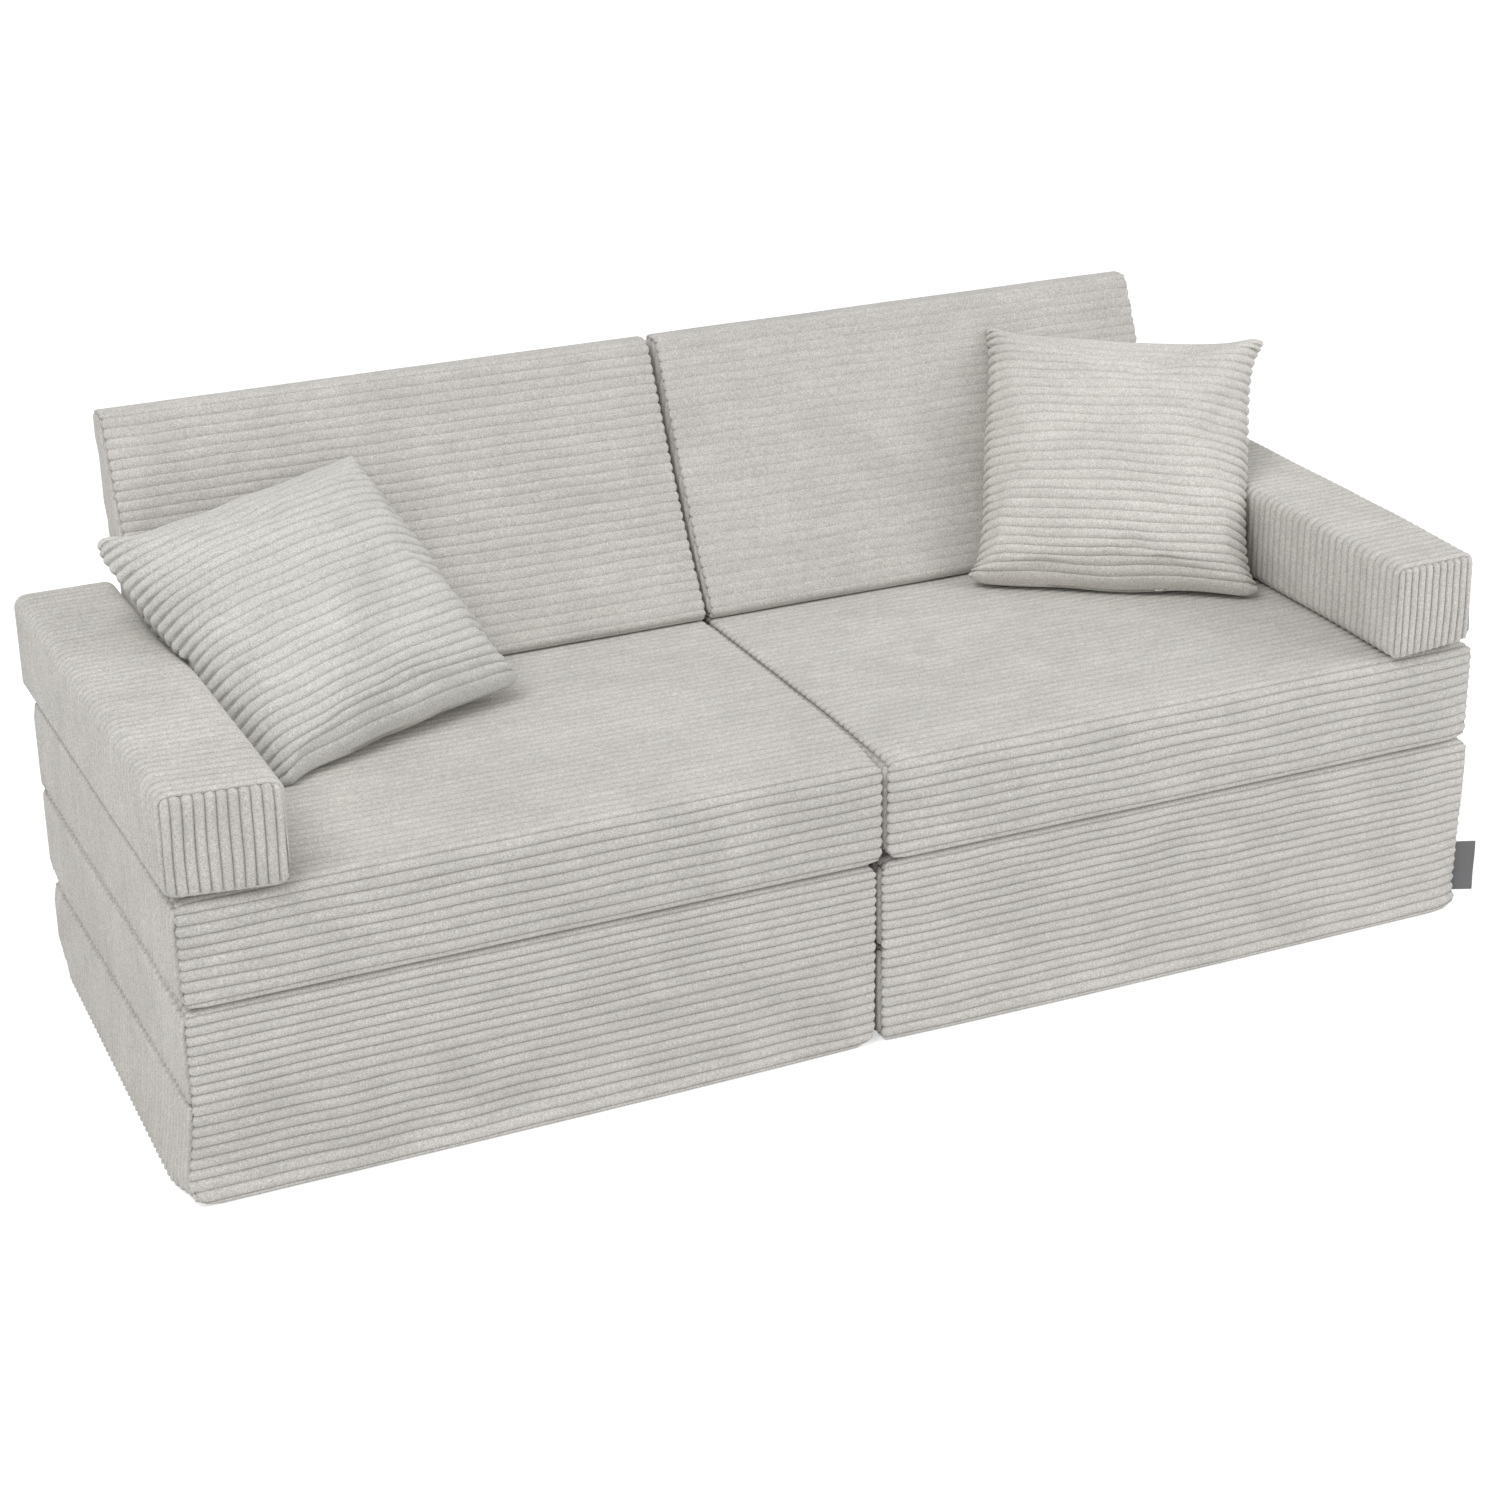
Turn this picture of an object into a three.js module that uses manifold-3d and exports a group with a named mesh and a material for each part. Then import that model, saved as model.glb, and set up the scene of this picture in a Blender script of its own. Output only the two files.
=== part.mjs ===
// Fold-out play sofa for children, in wide-rib corduroy over foam.
// Two matching halves stand side by side. Each is a mattress of three foam slabs, folded in a Z
// into a seat, with a wedge backrest, an armrest and a loose pillow standing on it.
// Every foam piece sits in its own zipped cover. Strips of cloth are the hinges of the fold.
// Millimetres, +Z up, the front faces -Y. The origin is on the floor, between the halves.

import * as THREE from 'three';
import { mergeVertices } from 'three/addons/utils/BufferGeometryUtils.js';
import Module from 'manifold-3d';

const wasm = await Module();
wasm.setup();

// Clearances
const restGap = 0.3;
const halvesGap = 0.6;
const overrun = 5;

// Mattress slabs, from the floor up
const slabNames = ['lower', 'middle', 'seat'];
const slabWidth = 699;
const slabDepth = 540;
const slabThickness = 103;
const slabEdge = 14;
const slabCorner = 12;
const slabCrown = 3;
const coverWall = 3;

// Cloth strips that hinge the slabs to each other
const hingeStripThickness = 2;
const hingeStripMargin = 12;
const hingeStripRound = 1.6;

// Backrests
const backHeight = 280;
const backBaseDepth = 115;
const backTopDepth = 30;
const backRearLean = 50;
const backSetback = 12;
const backEdgeLow = 9;
const backEdgeHigh = 11;
const backCorner = 10;
const backSideGap = 1;

// Armrests
const armWidth = 106;
const armDepth = 556;
const armHeight = 104;
const armOverhang = 4;
const armEdge = 13;
const armCorner = 11;
const armCrown = 2.5;

// Pillows
const pillowSide = 310;
const pillowThickness = 104;
const pillowCoverWall = 3;
const pillowSeam = 5;
const pillowDrawnInShare = 0.11;
const pillowSwellShare = 0.56;
const leftPillow = { reach: 201, yaw: 18, lean: 50, roll: -4.5 };
const rightPillow = { reach: 174, yaw: -34, lean: 38, roll: 0 };

// Zips
const zipTapeWidth = 7.4;
const zipTapeThickness = 1;
const zipCoilWidth = 3;
const zipCoilHeight = 0.9;
const zipSliderLength = 12;
const zipSliderWidth = 6.4;
const zipSliderHeight = 0.8;
const zipEndMargin = 110;
const pillowZipLength = 130;
const pillowZipClearance = 1;

// Label sewn into the front corner seam of the right lower slab
const labelReach = 20;
const labelHeight = 51;
const labelThickness = 1.4;
const labelFloorHeight = 24;
const labelSetback = 2;

// How finely round forms are divided
const roundSteps = 2;
const sideSteps = 2;
const stripRoundSteps = 3;
const pillowSteps = 12;
const pillowInsideSteps = 8;
const cornerLimitShare = 0.33;

// Points closer than this are one point
const weldDistance = 0.001;

// Places that follow from the sizes
const slabPitch = slabThickness + restGap;
const stackHeight = slabNames.length * slabPitch;
const halfCentreX = (halvesGap + slabWidth) / 2;
const backRearReach = Math.max(backRearLean - backSetback, armDepth - slabDepth);
const frontY = -(slabDepth + backRearReach) / 2;
const hingedFaceInset = hingeStripThickness + restGap;
const armInsideX = halvesGap / 2 + slabWidth + armOverhang - armWidth;

// Colours sampled by eye from the photograph's lit cloth
const colours = { cloth: 0xcbc8c2, pillow: 0xcfcfc9, foam: 0xf1ead6, zip: 0xb4b1ab, label: 0x75767b };

function material(name) {
  const roughness = { cloth: 0.95, pillow: 0.95, foam: 0.9, zip: 0.55, label: 0.6 }[name];
  return new THREE.MeshStandardMaterial({ color: colours[name], roughness, metalness: 0 });
}

function named(name, geometry, finish) {
  const mesh = new THREE.Mesh(geometry, material(finish));
  mesh.name = name;
  return mesh;
}

function placed(object, x, y, z) {
  object.position.set(x, y, z);
  return object;
}

// Solids and booleans
function solidOf(geometry) {
  const bare = geometry.clone();
  bare.deleteAttribute('normal');
  bare.deleteAttribute('uv');
  const merged = mergeVertices(bare, weldDistance);
  const vertProperties = new Float32Array(merged.attributes.position.array);
  const triVerts = new Uint32Array(merged.index.array);
  return new wasm.Manifold(new wasm.Mesh({ numProp: 3, vertProperties, triVerts }));
}

function geometryOf(solid) {
  const mesh = solid.getMesh();
  const geometry = new THREE.BufferGeometry();
  geometry.setAttribute('position', new THREE.BufferAttribute(mesh.vertProperties, 3));
  geometry.setIndex(new THREE.BufferAttribute(mesh.triVerts, 1));
  geometry.computeVertexNormals();
  return geometry;
}

function indexedGeometry(points, triangles) {
  const geometry = new THREE.BufferGeometry();
  geometry.setAttribute('position', new THREE.Float32BufferAttribute(points.flat(), 3));
  geometry.setIndex(triangles);
  geometry.computeVertexNormals();
  return geometry;
}

// A foam block: its foot is centred on X, its front face starts at Y zero and it stands on Z zero.
// slopeFront and slopeRear lean those faces back. A crown is how far a side swells at its middle.
function block(sizes) {
  const none = { left: 0, right: 0, front: 0, rear: 0 };
  const defaults = { front: 0, bottom: 0, slopeFront: 0, slopeRear: 0 };
  return { ...defaults, ...sizes, crown: { ...none, ...sizes.crown } };
}

// The same block with every face moved in, as a lining or a foam core is inside its cover
function shrunk(b, inward) {
  return {
    ...b,
    width: b.width - 2 * inward,
    depth: b.depth - 2 * inward + inward * (b.slopeRear - b.slopeFront),
    height: b.height - 2 * inward,
    front: b.front + inward + inward * b.slopeFront,
    bottom: b.bottom + inward,
    edgeLow: Math.max(b.edgeLow - inward, inward),
    edgeHigh: Math.max(b.edgeHigh - inward, inward),
    corner: Math.max(b.corner - inward, inward),
  };
}

// Heights of a block's outlines, each with how far it is drawn in by the rounded long edges
function levels(b) {
  const steps = Array.from({ length: roundSteps + 1 }, (_, i) => (i * Math.PI) / 2 / roundSteps);
  const low = steps.map((a) => ({
    z: b.edgeLow * (1 - Math.cos(a)),
    inset: b.edgeLow * (1 - Math.sin(a)),
  }));
  const high = steps.map((a) => ({
    z: b.height - b.edgeHigh * (1 - Math.sin(a)),
    inset: b.edgeHigh * (1 - Math.cos(a)),
  }));
  return [...low, { z: b.height / 2, inset: 0 }, ...high];
}

// One outline of a block, anticlockwise seen from above
function outline(b, { z, inset }) {
  const left = -b.width / 2 + inset;
  const right = b.width / 2 - inset;
  const front = b.front + b.slopeFront * z + inset;
  const rear = b.front + b.depth + b.slopeRear * z - inset;
  const radius = Math.min(b.corner, (right - left) * cornerLimitShare, (rear - front) * cornerLimitShare);
  const swell = 1 - (2 * (z / b.height) - 1) ** 2;
  const corners = [
    { x: right - radius, y: front + radius, turn: -Math.PI / 2, side: [1, 0, 'right'] },
    { x: right - radius, y: rear - radius, turn: 0, side: [0, 1, 'rear'] },
    { x: left + radius, y: rear - radius, turn: Math.PI / 2, side: [-1, 0, 'left'] },
    { x: left + radius, y: front + radius, turn: Math.PI, side: [0, -1, 'front'] },
  ];
  const points = [];
  corners.forEach((corner, i) => {
    for (let s = 0; s <= roundSteps; s += 1) {
      const angle = corner.turn + (s * Math.PI) / 2 / roundSteps;
      const x = corner.x + radius * Math.cos(angle);
      const y = corner.y + radius * Math.sin(angle);
      points.push([x, y, b.bottom + z]);
    }
    const next = corners[(i + 1) % corners.length];
    const [outX, outY, face] = corner.side;
    const start = [corner.x + radius * outX, corner.y + radius * outY];
    const end = [next.x + radius * outX, next.y + radius * outY];
    for (let s = 1; s < sideSteps; s += 1) {
      const along = s / sideSteps;
      const bulge = b.crown[face] * swell * (1 - (2 * along - 1) ** 2);
      const x = start[0] + (end[0] - start[0]) * along + bulge * outX;
      const y = start[1] + (end[1] - start[1]) * along + bulge * outY;
      points.push([x, y, b.bottom + z]);
    }
  });
  return points;
}

function blockGeometry(b) {
  const rings = levels(b).map((level) => outline(b, level));
  const count = rings[0].length;
  const triangles = [];
  for (let r = 0; r + 1 < rings.length; r += 1) {
    for (let i = 0; i < count; i += 1) {
      const j = (i + 1) % count;
      const [low, high] = [r * count, (r + 1) * count];
      triangles.push(low + i, low + j, high + j, low + i, high + j, high + i);
    }
  }
  const top = (rings.length - 1) * count;
  for (let i = 1; i + 1 < count; i += 1) {
    triangles.push(0, i + 1, i, top, top + i, top + i + 1);
  }
  return indexedGeometry(rings.flat(), triangles);
}

// A zip runs along X with its outer side facing -Y, sunk into a wall whose outer face is Y zero
function zipGeometry(length, wall) {
  const tapeY = wall - zipTapeThickness;
  const coilY = tapeY - zipCoilHeight;
  const section = new THREE.Shape();
  section.moveTo(zipTapeWidth / 2, wall);
  section.lineTo(-zipTapeWidth / 2, wall);
  section.lineTo(-zipTapeWidth / 2, tapeY);
  section.lineTo(-zipCoilWidth / 2, tapeY);
  section.lineTo(-zipCoilWidth / 2, coilY);
  section.lineTo(zipCoilWidth / 2, coilY);
  section.lineTo(zipCoilWidth / 2, tapeY);
  section.lineTo(zipTapeWidth / 2, tapeY);
  section.closePath();
  const strip = new THREE.ExtrudeGeometry(section, { depth: length, bevelEnabled: false });
  strip.translate(0, 0, -length / 2);
  strip.rotateY(Math.PI / 2);
  const sliderDepth = zipCoilHeight + zipSliderHeight;
  const slider = new THREE.BoxGeometry(zipSliderLength, sliderDepth, zipSliderWidth);
  slider.translate(length / 2 - zipSliderLength, tapeY - sliderDepth / 2, 0);
  return geometryOf(solidOf(strip).add(solidOf(slider)));
}

// The opening that a zip closes, cut right through the wall
function zipSlot(length, wall) {
  const slotLength = length + 2 * restGap;
  const slotWidth = zipTapeWidth + 2 * restGap;
  const slot = new THREE.BoxGeometry(slotLength, wall + 2 * overrun, slotWidth);
  slot.translate(0, wall / 2, 0);
  return slot;
}

// Where a zip lies on a block: the middle of a face, turned so that it looks out of that face
function zipPlace(b, face) {
  const quarter = Math.PI / 2;
  const middleZ = b.height / 2;
  const middleY = b.depth / 2;
  const places = {
    rear: { at: [0, b.depth, middleZ], turn: [0, 0, 2 * quarter], run: b.width },
    right: { at: [b.width / 2, middleY, middleZ], turn: [0, 0, quarter], run: b.depth },
    left: { at: [-b.width / 2, middleY, middleZ], turn: [0, 0, -quarter], run: b.depth },
    under: { at: [0, middleY, 0], turn: [quarter, 0, 0], run: b.width },
    underLong: { at: [0, middleY, 0], turn: [quarter, 0, quarter], run: b.depth },
  };
  const place = places[face];
  const turn = new THREE.Euler(...place.turn, 'ZXY');
  const matrix = new THREE.Matrix4().makeRotationFromEuler(turn);
  matrix.setPosition(...place.at);
  return { matrix, length: place.run - 2 * zipEndMargin };
}

// Foam core, zipped cover and zip of one block
function cushion(name, b, face) {
  const zip = zipPlace(b, face);
  const slot = zipSlot(zip.length, coverWall).applyMatrix4(zip.matrix);
  const shell = solidOf(blockGeometry(b)).subtract(solidOf(blockGeometry(shrunk(b, coverWall))));
  const group = new THREE.Group();
  group.add(named(`${name}_foam`, blockGeometry(shrunk(b, coverWall + restGap)), 'foam'));
  group.add(named(`${name}_cover`, geometryOf(shell.subtract(solidOf(slot))), 'cloth'));
  const strip = zipGeometry(zip.length, coverWall).applyMatrix4(zip.matrix);
  group.add(named(`${name}_zip`, strip, 'zip'));
  return group;
}

// Mattress slabs. A face that a hinge strip covers is set back by the strip and stays flat.
function slabBlock(side, hinged) {
  const outer = side === 'left' ? 'left' : 'right';
  const front = hinged.includes('front') ? hingedFaceInset : 0;
  const rear = hinged.includes('rear') ? hingedFaceInset : 0;
  const crown = { [outer]: slabCrown };
  if (!hinged.includes('front')) crown.front = slabCrown;
  return block({
    width: slabWidth,
    depth: slabDepth - front - rear,
    height: slabThickness,
    edgeLow: slabEdge,
    edgeHigh: slabEdge,
    corner: slabCorner,
    crown,
  });
}

// Half of a hinge: a strip of cloth against one slab, from the fold line to where it is sewn on.
// It is drawn for a front face, with the fold line along Y zero, Z zero, and the slab above it.
function hingeStripGeometry() {
  const height = slabThickness - hingeStripMargin;
  const [thick, round] = [hingeStripThickness, hingeStripRound];
  const section = new THREE.Shape();
  section.moveTo(0, 0);
  section.lineTo(thick, 0);
  section.lineTo(thick, height);
  section.lineTo(round, height);
  section.quadraticCurveTo(0, height, 0, height - round);
  section.closePath();
  const width = slabWidth - 2 * slabCorner;
  const options = { depth: width, bevelEnabled: false, curveSegments: stripRoundSteps };
  const strip = new THREE.ExtrudeGeometry(section, options);
  strip.translate(0, 0, -width / 2);
  // The section's X becomes Y, its Y becomes Z and the extrusion runs along X
  const axes = new THREE.Matrix4().makeBasis(
    new THREE.Vector3(0, 1, 0),
    new THREE.Vector3(0, 0, 1),
    new THREE.Vector3(1, 0, 0),
  );
  return strip.applyMatrix4(axes);
}

// Two strips that meet at a fold line, one below it and one above, on the front or the rear face
function hinge(name, face, z) {
  const facing = face === 'front' ? 0 : Math.PI;
  const group = new THREE.Group();
  const above = named(`${name}_upper`, hingeStripGeometry(), 'cloth');
  above.position.z = restGap / 2;
  const below = named(`${name}_lower`, hingeStripGeometry(), 'cloth');
  below.geometry.scale(1, 1, -1);
  below.geometry = flipped(below.geometry);
  below.position.z = -restGap / 2;
  group.add(above, below);
  group.rotation.z = facing;
  return placed(group, 0, face === 'front' ? 0 : slabDepth, z);
}

// A mirrored geometry with its faces turned out again
function flipped(geometry) {
  const bare = geometry.clone();
  const array = bare.attributes.position.array;
  for (let i = 0; i < array.length; i += 9) {
    for (let k = 0; k < 3; k += 1) {
      [array[i + 3 + k], array[i + 6 + k]] = [array[i + 6 + k], array[i + 3 + k]];
    }
  }
  bare.computeVertexNormals();
  return bare;
}

function mattress(side) {
  const group = new THREE.Group();
  const inner = side === 'left' ? 'right' : 'left';
  const slabs = [
    { hinged: ['front'], zip: 'rear' },
    { hinged: ['front', 'rear'], zip: inner },
    { hinged: ['rear'], zip: inner },
  ];
  slabs.forEach((slab, i) => {
    const front = slab.hinged.includes('front') ? hingedFaceInset : 0;
    const piece = cushion(`${side}_${slabNames[i]}`, slabBlock(side, slab.hinged), slab.zip);
    group.add(placed(piece, 0, front, i * slabPitch));
  });
  group.add(hinge(`${side}_front_hinge`, 'front', slabPitch - restGap / 2));
  group.add(hinge(`${side}_rear_hinge`, 'rear', 2 * slabPitch - restGap / 2));
  return group;
}

// Backrests: a wedge whose front leans back more than its rear
const backSlopeRear = backRearLean / backHeight;
const backSlopeFront = (backBaseDepth + backRearLean - backTopDepth) / backHeight;
const backFootY = slabDepth - backSetback - backBaseDepth;

function backrest(side) {
  const width = armInsideX - halvesGap / 2 - 2 * backSideGap;
  const b = block({
    width,
    depth: backBaseDepth,
    height: backHeight,
    slopeFront: backSlopeFront,
    slopeRear: backSlopeRear,
    edgeLow: backEdgeLow,
    edgeHigh: backEdgeHigh,
    corner: backCorner,
  });
  const centreX = halvesGap / 2 + backSideGap + width / 2;
  const toCentre = side === 'left' ? -1 : 1;
  return placed(cushion(`${side}_back`, b, 'under'), toCentre * centreX, backFootY, stackHeight);
}

// Armrests: they overhang the seat a little at the outside
function armrest(side) {
  const crown = side === 'left' ? { left: armCrown } : { right: armCrown };
  const b = block({
    width: armWidth,
    depth: armDepth,
    height: armHeight,
    edgeLow: armEdge,
    edgeHigh: armEdge,
    corner: armCorner,
    crown,
  });
  const toCentre = side === 'left' ? -1 : 1;
  const centreX = armInsideX + armWidth / 2;
  return placed(cushion(`${side}_arm`, b, 'underLong'), toCentre * centreX, 0, stackHeight);
}

// Pillows: two sheets that swell between four ears, with the sides drawn in between the ears.
// The pillow stands in X and Z with its front to -Y, and its bottom ears are at Z zero.
function pillowPoint(u, v, swell, side, thickness) {
  const drawnIn = 1 - pillowDrawnInShare * (1 - v * v) * u * u;
  const drawnUp = 1 - pillowDrawnInShare * (1 - u * u) * v * v;
  const x = (side / 2) * u * drawnIn;
  const z = (side / 2) * v * drawnUp;
  const half = (thickness / 2) * ((1 - u * u) * (1 - v * v)) ** pillowSwellShare;
  return [x, swell * half, z + pillowSide / 2];
}

function pillowGeometry(side, thickness, steps) {
  const points = [];
  const triangles = [];
  const share = (i) => -Math.cos((Math.PI * i) / steps);
  const sheets = [-1, 1].map((swell) => {
    const first = points.length;
    for (let j = 0; j <= steps; j += 1) {
      for (let i = 0; i <= steps; i += 1) {
        const rim = i === 0 || j === 0 || i === steps || j === steps;
        points.push(pillowPoint(share(i), share(j), rim ? 0 : swell, side, thickness));
      }
    }
    return { swell, first };
  });
  sheets.forEach(({ swell, first }) => {
    for (let j = 0; j < steps; j += 1) {
      for (let i = 0; i < steps; i += 1) {
        const a = first + j * (steps + 1) + i;
        const [b, c, d] = [a + 1, a + steps + 2, a + steps + 1];
        const rightWay = (i < steps / 2) === (j < steps / 2);
        const pair = rightWay ? [a, b, c, a, c, d] : [a, b, d, b, c, d];
        triangles.push(...(swell < 0 ? pair : pair.reverse()));
      }
    }
  });
  const joined = indexedGeometry(points, triangles);
  joined.deleteAttribute('normal');
  return mergeVertices(joined, weldDistance);
}

function pillowParts(name) {
  const outer = pillowGeometry(pillowSide, pillowThickness, pillowSteps);
  const liningSide = pillowSide - 2 * pillowSeam;
  const liningThickness = pillowThickness - 2 * pillowCoverWall;
  const lining = pillowGeometry(liningSide, liningThickness, pillowInsideSteps);
  const fill = pillowGeometry(
    liningSide - 2 * restGap,
    liningThickness - 2 * restGap,
    pillowInsideSteps,
  );
  const bottomMiddle = pillowPoint(0, -1, 0, pillowSide, pillowThickness)[2];
  const liningAtZipEnd = pillowPoint(pillowZipLength / liningSide, -1, 0, liningSide, 0)[2];
  const zipTop = liningAtZipEnd - pillowZipClearance;
  const zipDrop = new THREE.Matrix4().makeRotationX(Math.PI / 2);
  zipDrop.setPosition(0, 0, zipTop - pillowCoverWall);
  const slotDrop = new THREE.Matrix4().makeRotationX(Math.PI / 2);
  slotDrop.setPosition(0, 0, bottomMiddle);
  const slot = zipSlot(pillowZipLength, pillowCoverWall).applyMatrix4(slotDrop);
  const shell = solidOf(outer).subtract(solidOf(lining)).subtract(solidOf(slot));
  return [
    named(`${name}_fill`, fill, 'foam'),
    named(`${name}_cover`, geometryOf(shell), 'pillow'),
    named(`${name}_zip`, zipGeometry(pillowZipLength, pillowCoverWall).applyMatrix4(zipDrop), 'zip'),
  ];
}

// A pillow leans back against the backrest and beside its armrest. It is turned first, then let
// down onto the seat, pushed back to the backrest's face and moved clear of the armrest.
function pillow(side, pose) {
  const outward = side === 'left' ? -1 : 1;
  const parts = pillowParts(`${side}_pillow`);
  const lean = THREE.MathUtils.degToRad(-pose.lean);
  const yaw = THREE.MathUtils.degToRad(pose.yaw);
  const roll = THREE.MathUtils.degToRad(pose.roll);
  const turn = new THREE.Matrix4().makeRotationFromEuler(new THREE.Euler(lean, roll, yaw, 'ZXY'));
  const points = [];
  const cover = parts[1].geometry.attributes.position;
  for (let i = 0; i < cover.count; i += 1) {
    points.push(new THREE.Vector3().fromBufferAttribute(cover, i).applyMatrix4(turn));
  }
  const zipPoints = parts[2].geometry.attributes.position;
  for (let i = 0; i < zipPoints.count; i += 1) {
    points.push(new THREE.Vector3().fromBufferAttribute(zipPoints, i).applyMatrix4(turn));
  }
  const z = stackHeight + restGap - Math.min(...points.map((p) => p.z));
  const faceY = (height) => backFootY + backSlopeFront * (height - stackHeight);
  const y = Math.min(...points.map((p) => faceY(p.z + z) - p.y)) - restGap;
  const wishedX = outward * (armInsideX - pose.reach);
  const armTop = stackHeight + armHeight - z;
  const reached = outwardReach(points, outward, armTop);
  const freeX = outward * (armInsideX - restGap) - outward * reached;
  const x = outward < 0 ? Math.max(wishedX, freeX) : Math.min(wishedX, freeX);
  const group = new THREE.Group();
  group.add(...parts);
  group.setRotationFromMatrix(turn);
  return placed(group, x, y, z);
}

// How far out the pillow and the straight lines between its points reach below a height
function outwardReach(points, outward, height) {
  const below = points.filter((p) => p.z <= height);
  const above = points.filter((p) => p.z > height);
  let reach = Math.max(...below.map((p) => p.x * outward));
  below.forEach((low) => {
    above.forEach((high) => {
      const share = (height - low.z) / (high.z - low.z);
      reach = Math.max(reach, (low.x + (high.x - low.x) * share) * outward);
    });
  });
  return reach;
}

// The bare label stands out of the front corner seam
function label() {
  const geometry = new THREE.BoxGeometry(labelReach, labelThickness, labelHeight);
  const x = halvesGap / 2 + slabWidth + restGap + labelReach / 2;
  const y = hingedFaceInset + slabCorner + labelSetback;
  return placed(named('label', geometry, 'label'), x, y, labelFloorHeight + labelHeight / 2);
}

function half(side, pillowPose) {
  const toCentre = side === 'left' ? -1 : 1;
  const group = new THREE.Group();
  group.add(placed(mattress(side), toCentre * halfCentreX, 0, 0));
  group.add(backrest(side), armrest(side), pillow(side, pillowPose));
  return group;
}

const sofa = new THREE.Group();
sofa.add(half('left', leftPillow), half('right', rightPillow), label());
sofa.position.y = frontY;

export default sofa;
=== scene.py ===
"""Looks of a fold-out play sofa for children in wide-rib corduroy over foam.

Every cushion is a closed mesh whose ribs are real shape. A band of cloth wraps a slab, a backrest or
an armrest, a panel closes each end, and a sewn seam runs between them. A pillow is two sewn sheets.
Metres, +Z up, the front faces -Y, as in the frame.
"""

import math

import bmesh
import bpy
import numpy as np
from mathutils import Matrix, Vector

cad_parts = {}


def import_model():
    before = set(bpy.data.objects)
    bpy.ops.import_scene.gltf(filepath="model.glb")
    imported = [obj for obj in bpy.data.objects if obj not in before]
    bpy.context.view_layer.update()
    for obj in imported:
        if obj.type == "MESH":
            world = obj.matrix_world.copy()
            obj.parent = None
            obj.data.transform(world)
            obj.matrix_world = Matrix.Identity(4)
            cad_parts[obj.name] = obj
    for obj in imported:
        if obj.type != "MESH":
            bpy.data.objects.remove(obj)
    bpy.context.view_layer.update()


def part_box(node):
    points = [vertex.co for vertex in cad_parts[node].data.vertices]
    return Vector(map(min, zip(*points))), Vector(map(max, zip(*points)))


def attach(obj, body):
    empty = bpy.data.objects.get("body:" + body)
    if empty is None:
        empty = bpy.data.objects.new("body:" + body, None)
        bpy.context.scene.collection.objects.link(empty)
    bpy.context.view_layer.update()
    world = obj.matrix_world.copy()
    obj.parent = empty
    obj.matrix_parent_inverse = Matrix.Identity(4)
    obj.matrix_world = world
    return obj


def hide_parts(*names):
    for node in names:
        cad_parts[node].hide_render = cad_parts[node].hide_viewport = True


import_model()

SIDES = ("left", "right")
OUTWARD = {"left": -1, "right": 1}

# Corduroy: wide flat-topped ribs with narrow grooves
RIB_PITCH = 0.0107
ARM_PANEL_PITCH = 0.0097
RIB_DEPTH = 0.0023
ARM_RIB_DEPTH = 0.0032
BACK_RIB_DEPTHS = {"left": 0.0012, "right": 0.0007}
RIB_FLATNESS = 2.7
RIB_SHARES = np.array([0, 0.04, 0.10, 0.20, 0.5, 0.80, 0.90, 0.96])

# Sewing: a seam runs along each rounded edge between the band of a cushion and its end panels. The
# angles say how far round that edge it lies
SEAM_ANGLE = math.radians(48)
FACING_SEAM_ANGLE = math.radians(74)
BACK_SEAM_ANGLE = math.radians(58)
BACK_FACING_SEAM_ANGLE = math.radians(82)
ARM_SEAM_ANGLE = math.radians(32)
ARM_UNDER_SEAM_ANGLE = math.radians(16)
SEAM_DEPTH = 0.0034
ARM_SEAM_DEPTH = 0.0022
PANEL_SIDE_GROOVE_SHARE = 0.35
SEAM_WIDTH = 0.0032
SEAM_SHARES = np.array([0, 0.04, 0.15, 0.35, 0.65, 1])
SEAM_FADE_SHARE = 0.12
RIB_END_REACH = 0.010
RIB_END_SCALLOP = 0.0036
RIB_END_ROUNDNESS = 0.5
END_ROLL = 0.008
THIN_END_ROLL = 0.005

# Lengths too short to matter
TINY, NEAR, CLOSE = 1e-12, 1e-9, 1e-6

# Spacing and number of samples
ALONG_STEP = 0.016
ARC_STEPS = 5
ROLL_STEP = 0.002
PANEL_SAMPLES = 720
COLUMN_SAMPLES = 1440
NEAREST_SAMPLES = 4000

# Radii of the cushions' long edges, and of the corners of the slabs' front and rear faces
SLAB_EDGE = 0.0135
SHARPER_SLAB_EDGES = {("lower", "front_low"): 0.0045, ("seat", "front_low"): 0.006}
BACK_EDGE = 0.010
ARM_EDGE = 0.013
SLAB_CORNER = 0.020
SLAB_CORNER_REACH = 0.060

# At a fold: the edge's radius, the share of a groove's depth, how far the cloth is sunk straight in
# from its plain form, and over what way the rounded end comes back
FOLD_EDGE = 0.0008
FOLD_GROOVE_SHARE = 0.45
FOLD_REACH = 0.008
FOLD_EASE = 0.030
LEAST_EASE = 0.001

# Radii of each lower slab's left and right corner on the floor
FLOOR_CORNERS = {"left": (0.037, 0.026), "right": (0.012, 0.024)}

# How far faces swell at their middle, and how uneven the cloth lies
SLAB_SWELL = 0.003
ARM_SWELL = 0.0015
CLOTH_WAVE = 0.0009
EVEN_EDGE_POWER = 6
LEFT_SEED = 7
WAVE_LENGTHS = (0.07, 0.11, 0.17, 0.26, 0.4)

# How far the seats' lower and upper front edges hang down, and over what way back. The middle slabs
# follow the lower ones and the armrests the upper ones. SLAB_FRONT_REACH is also the way back for
# what else is done to the slabs' fronts
SEAT_SAG = 0.0085
SEAT_TOP_SAG = 0.0034
ARM_SAG = 0.0030
SLAB_FRONT_REACH = 0.10
TOP_SAG_REACH = 0.15

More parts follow.
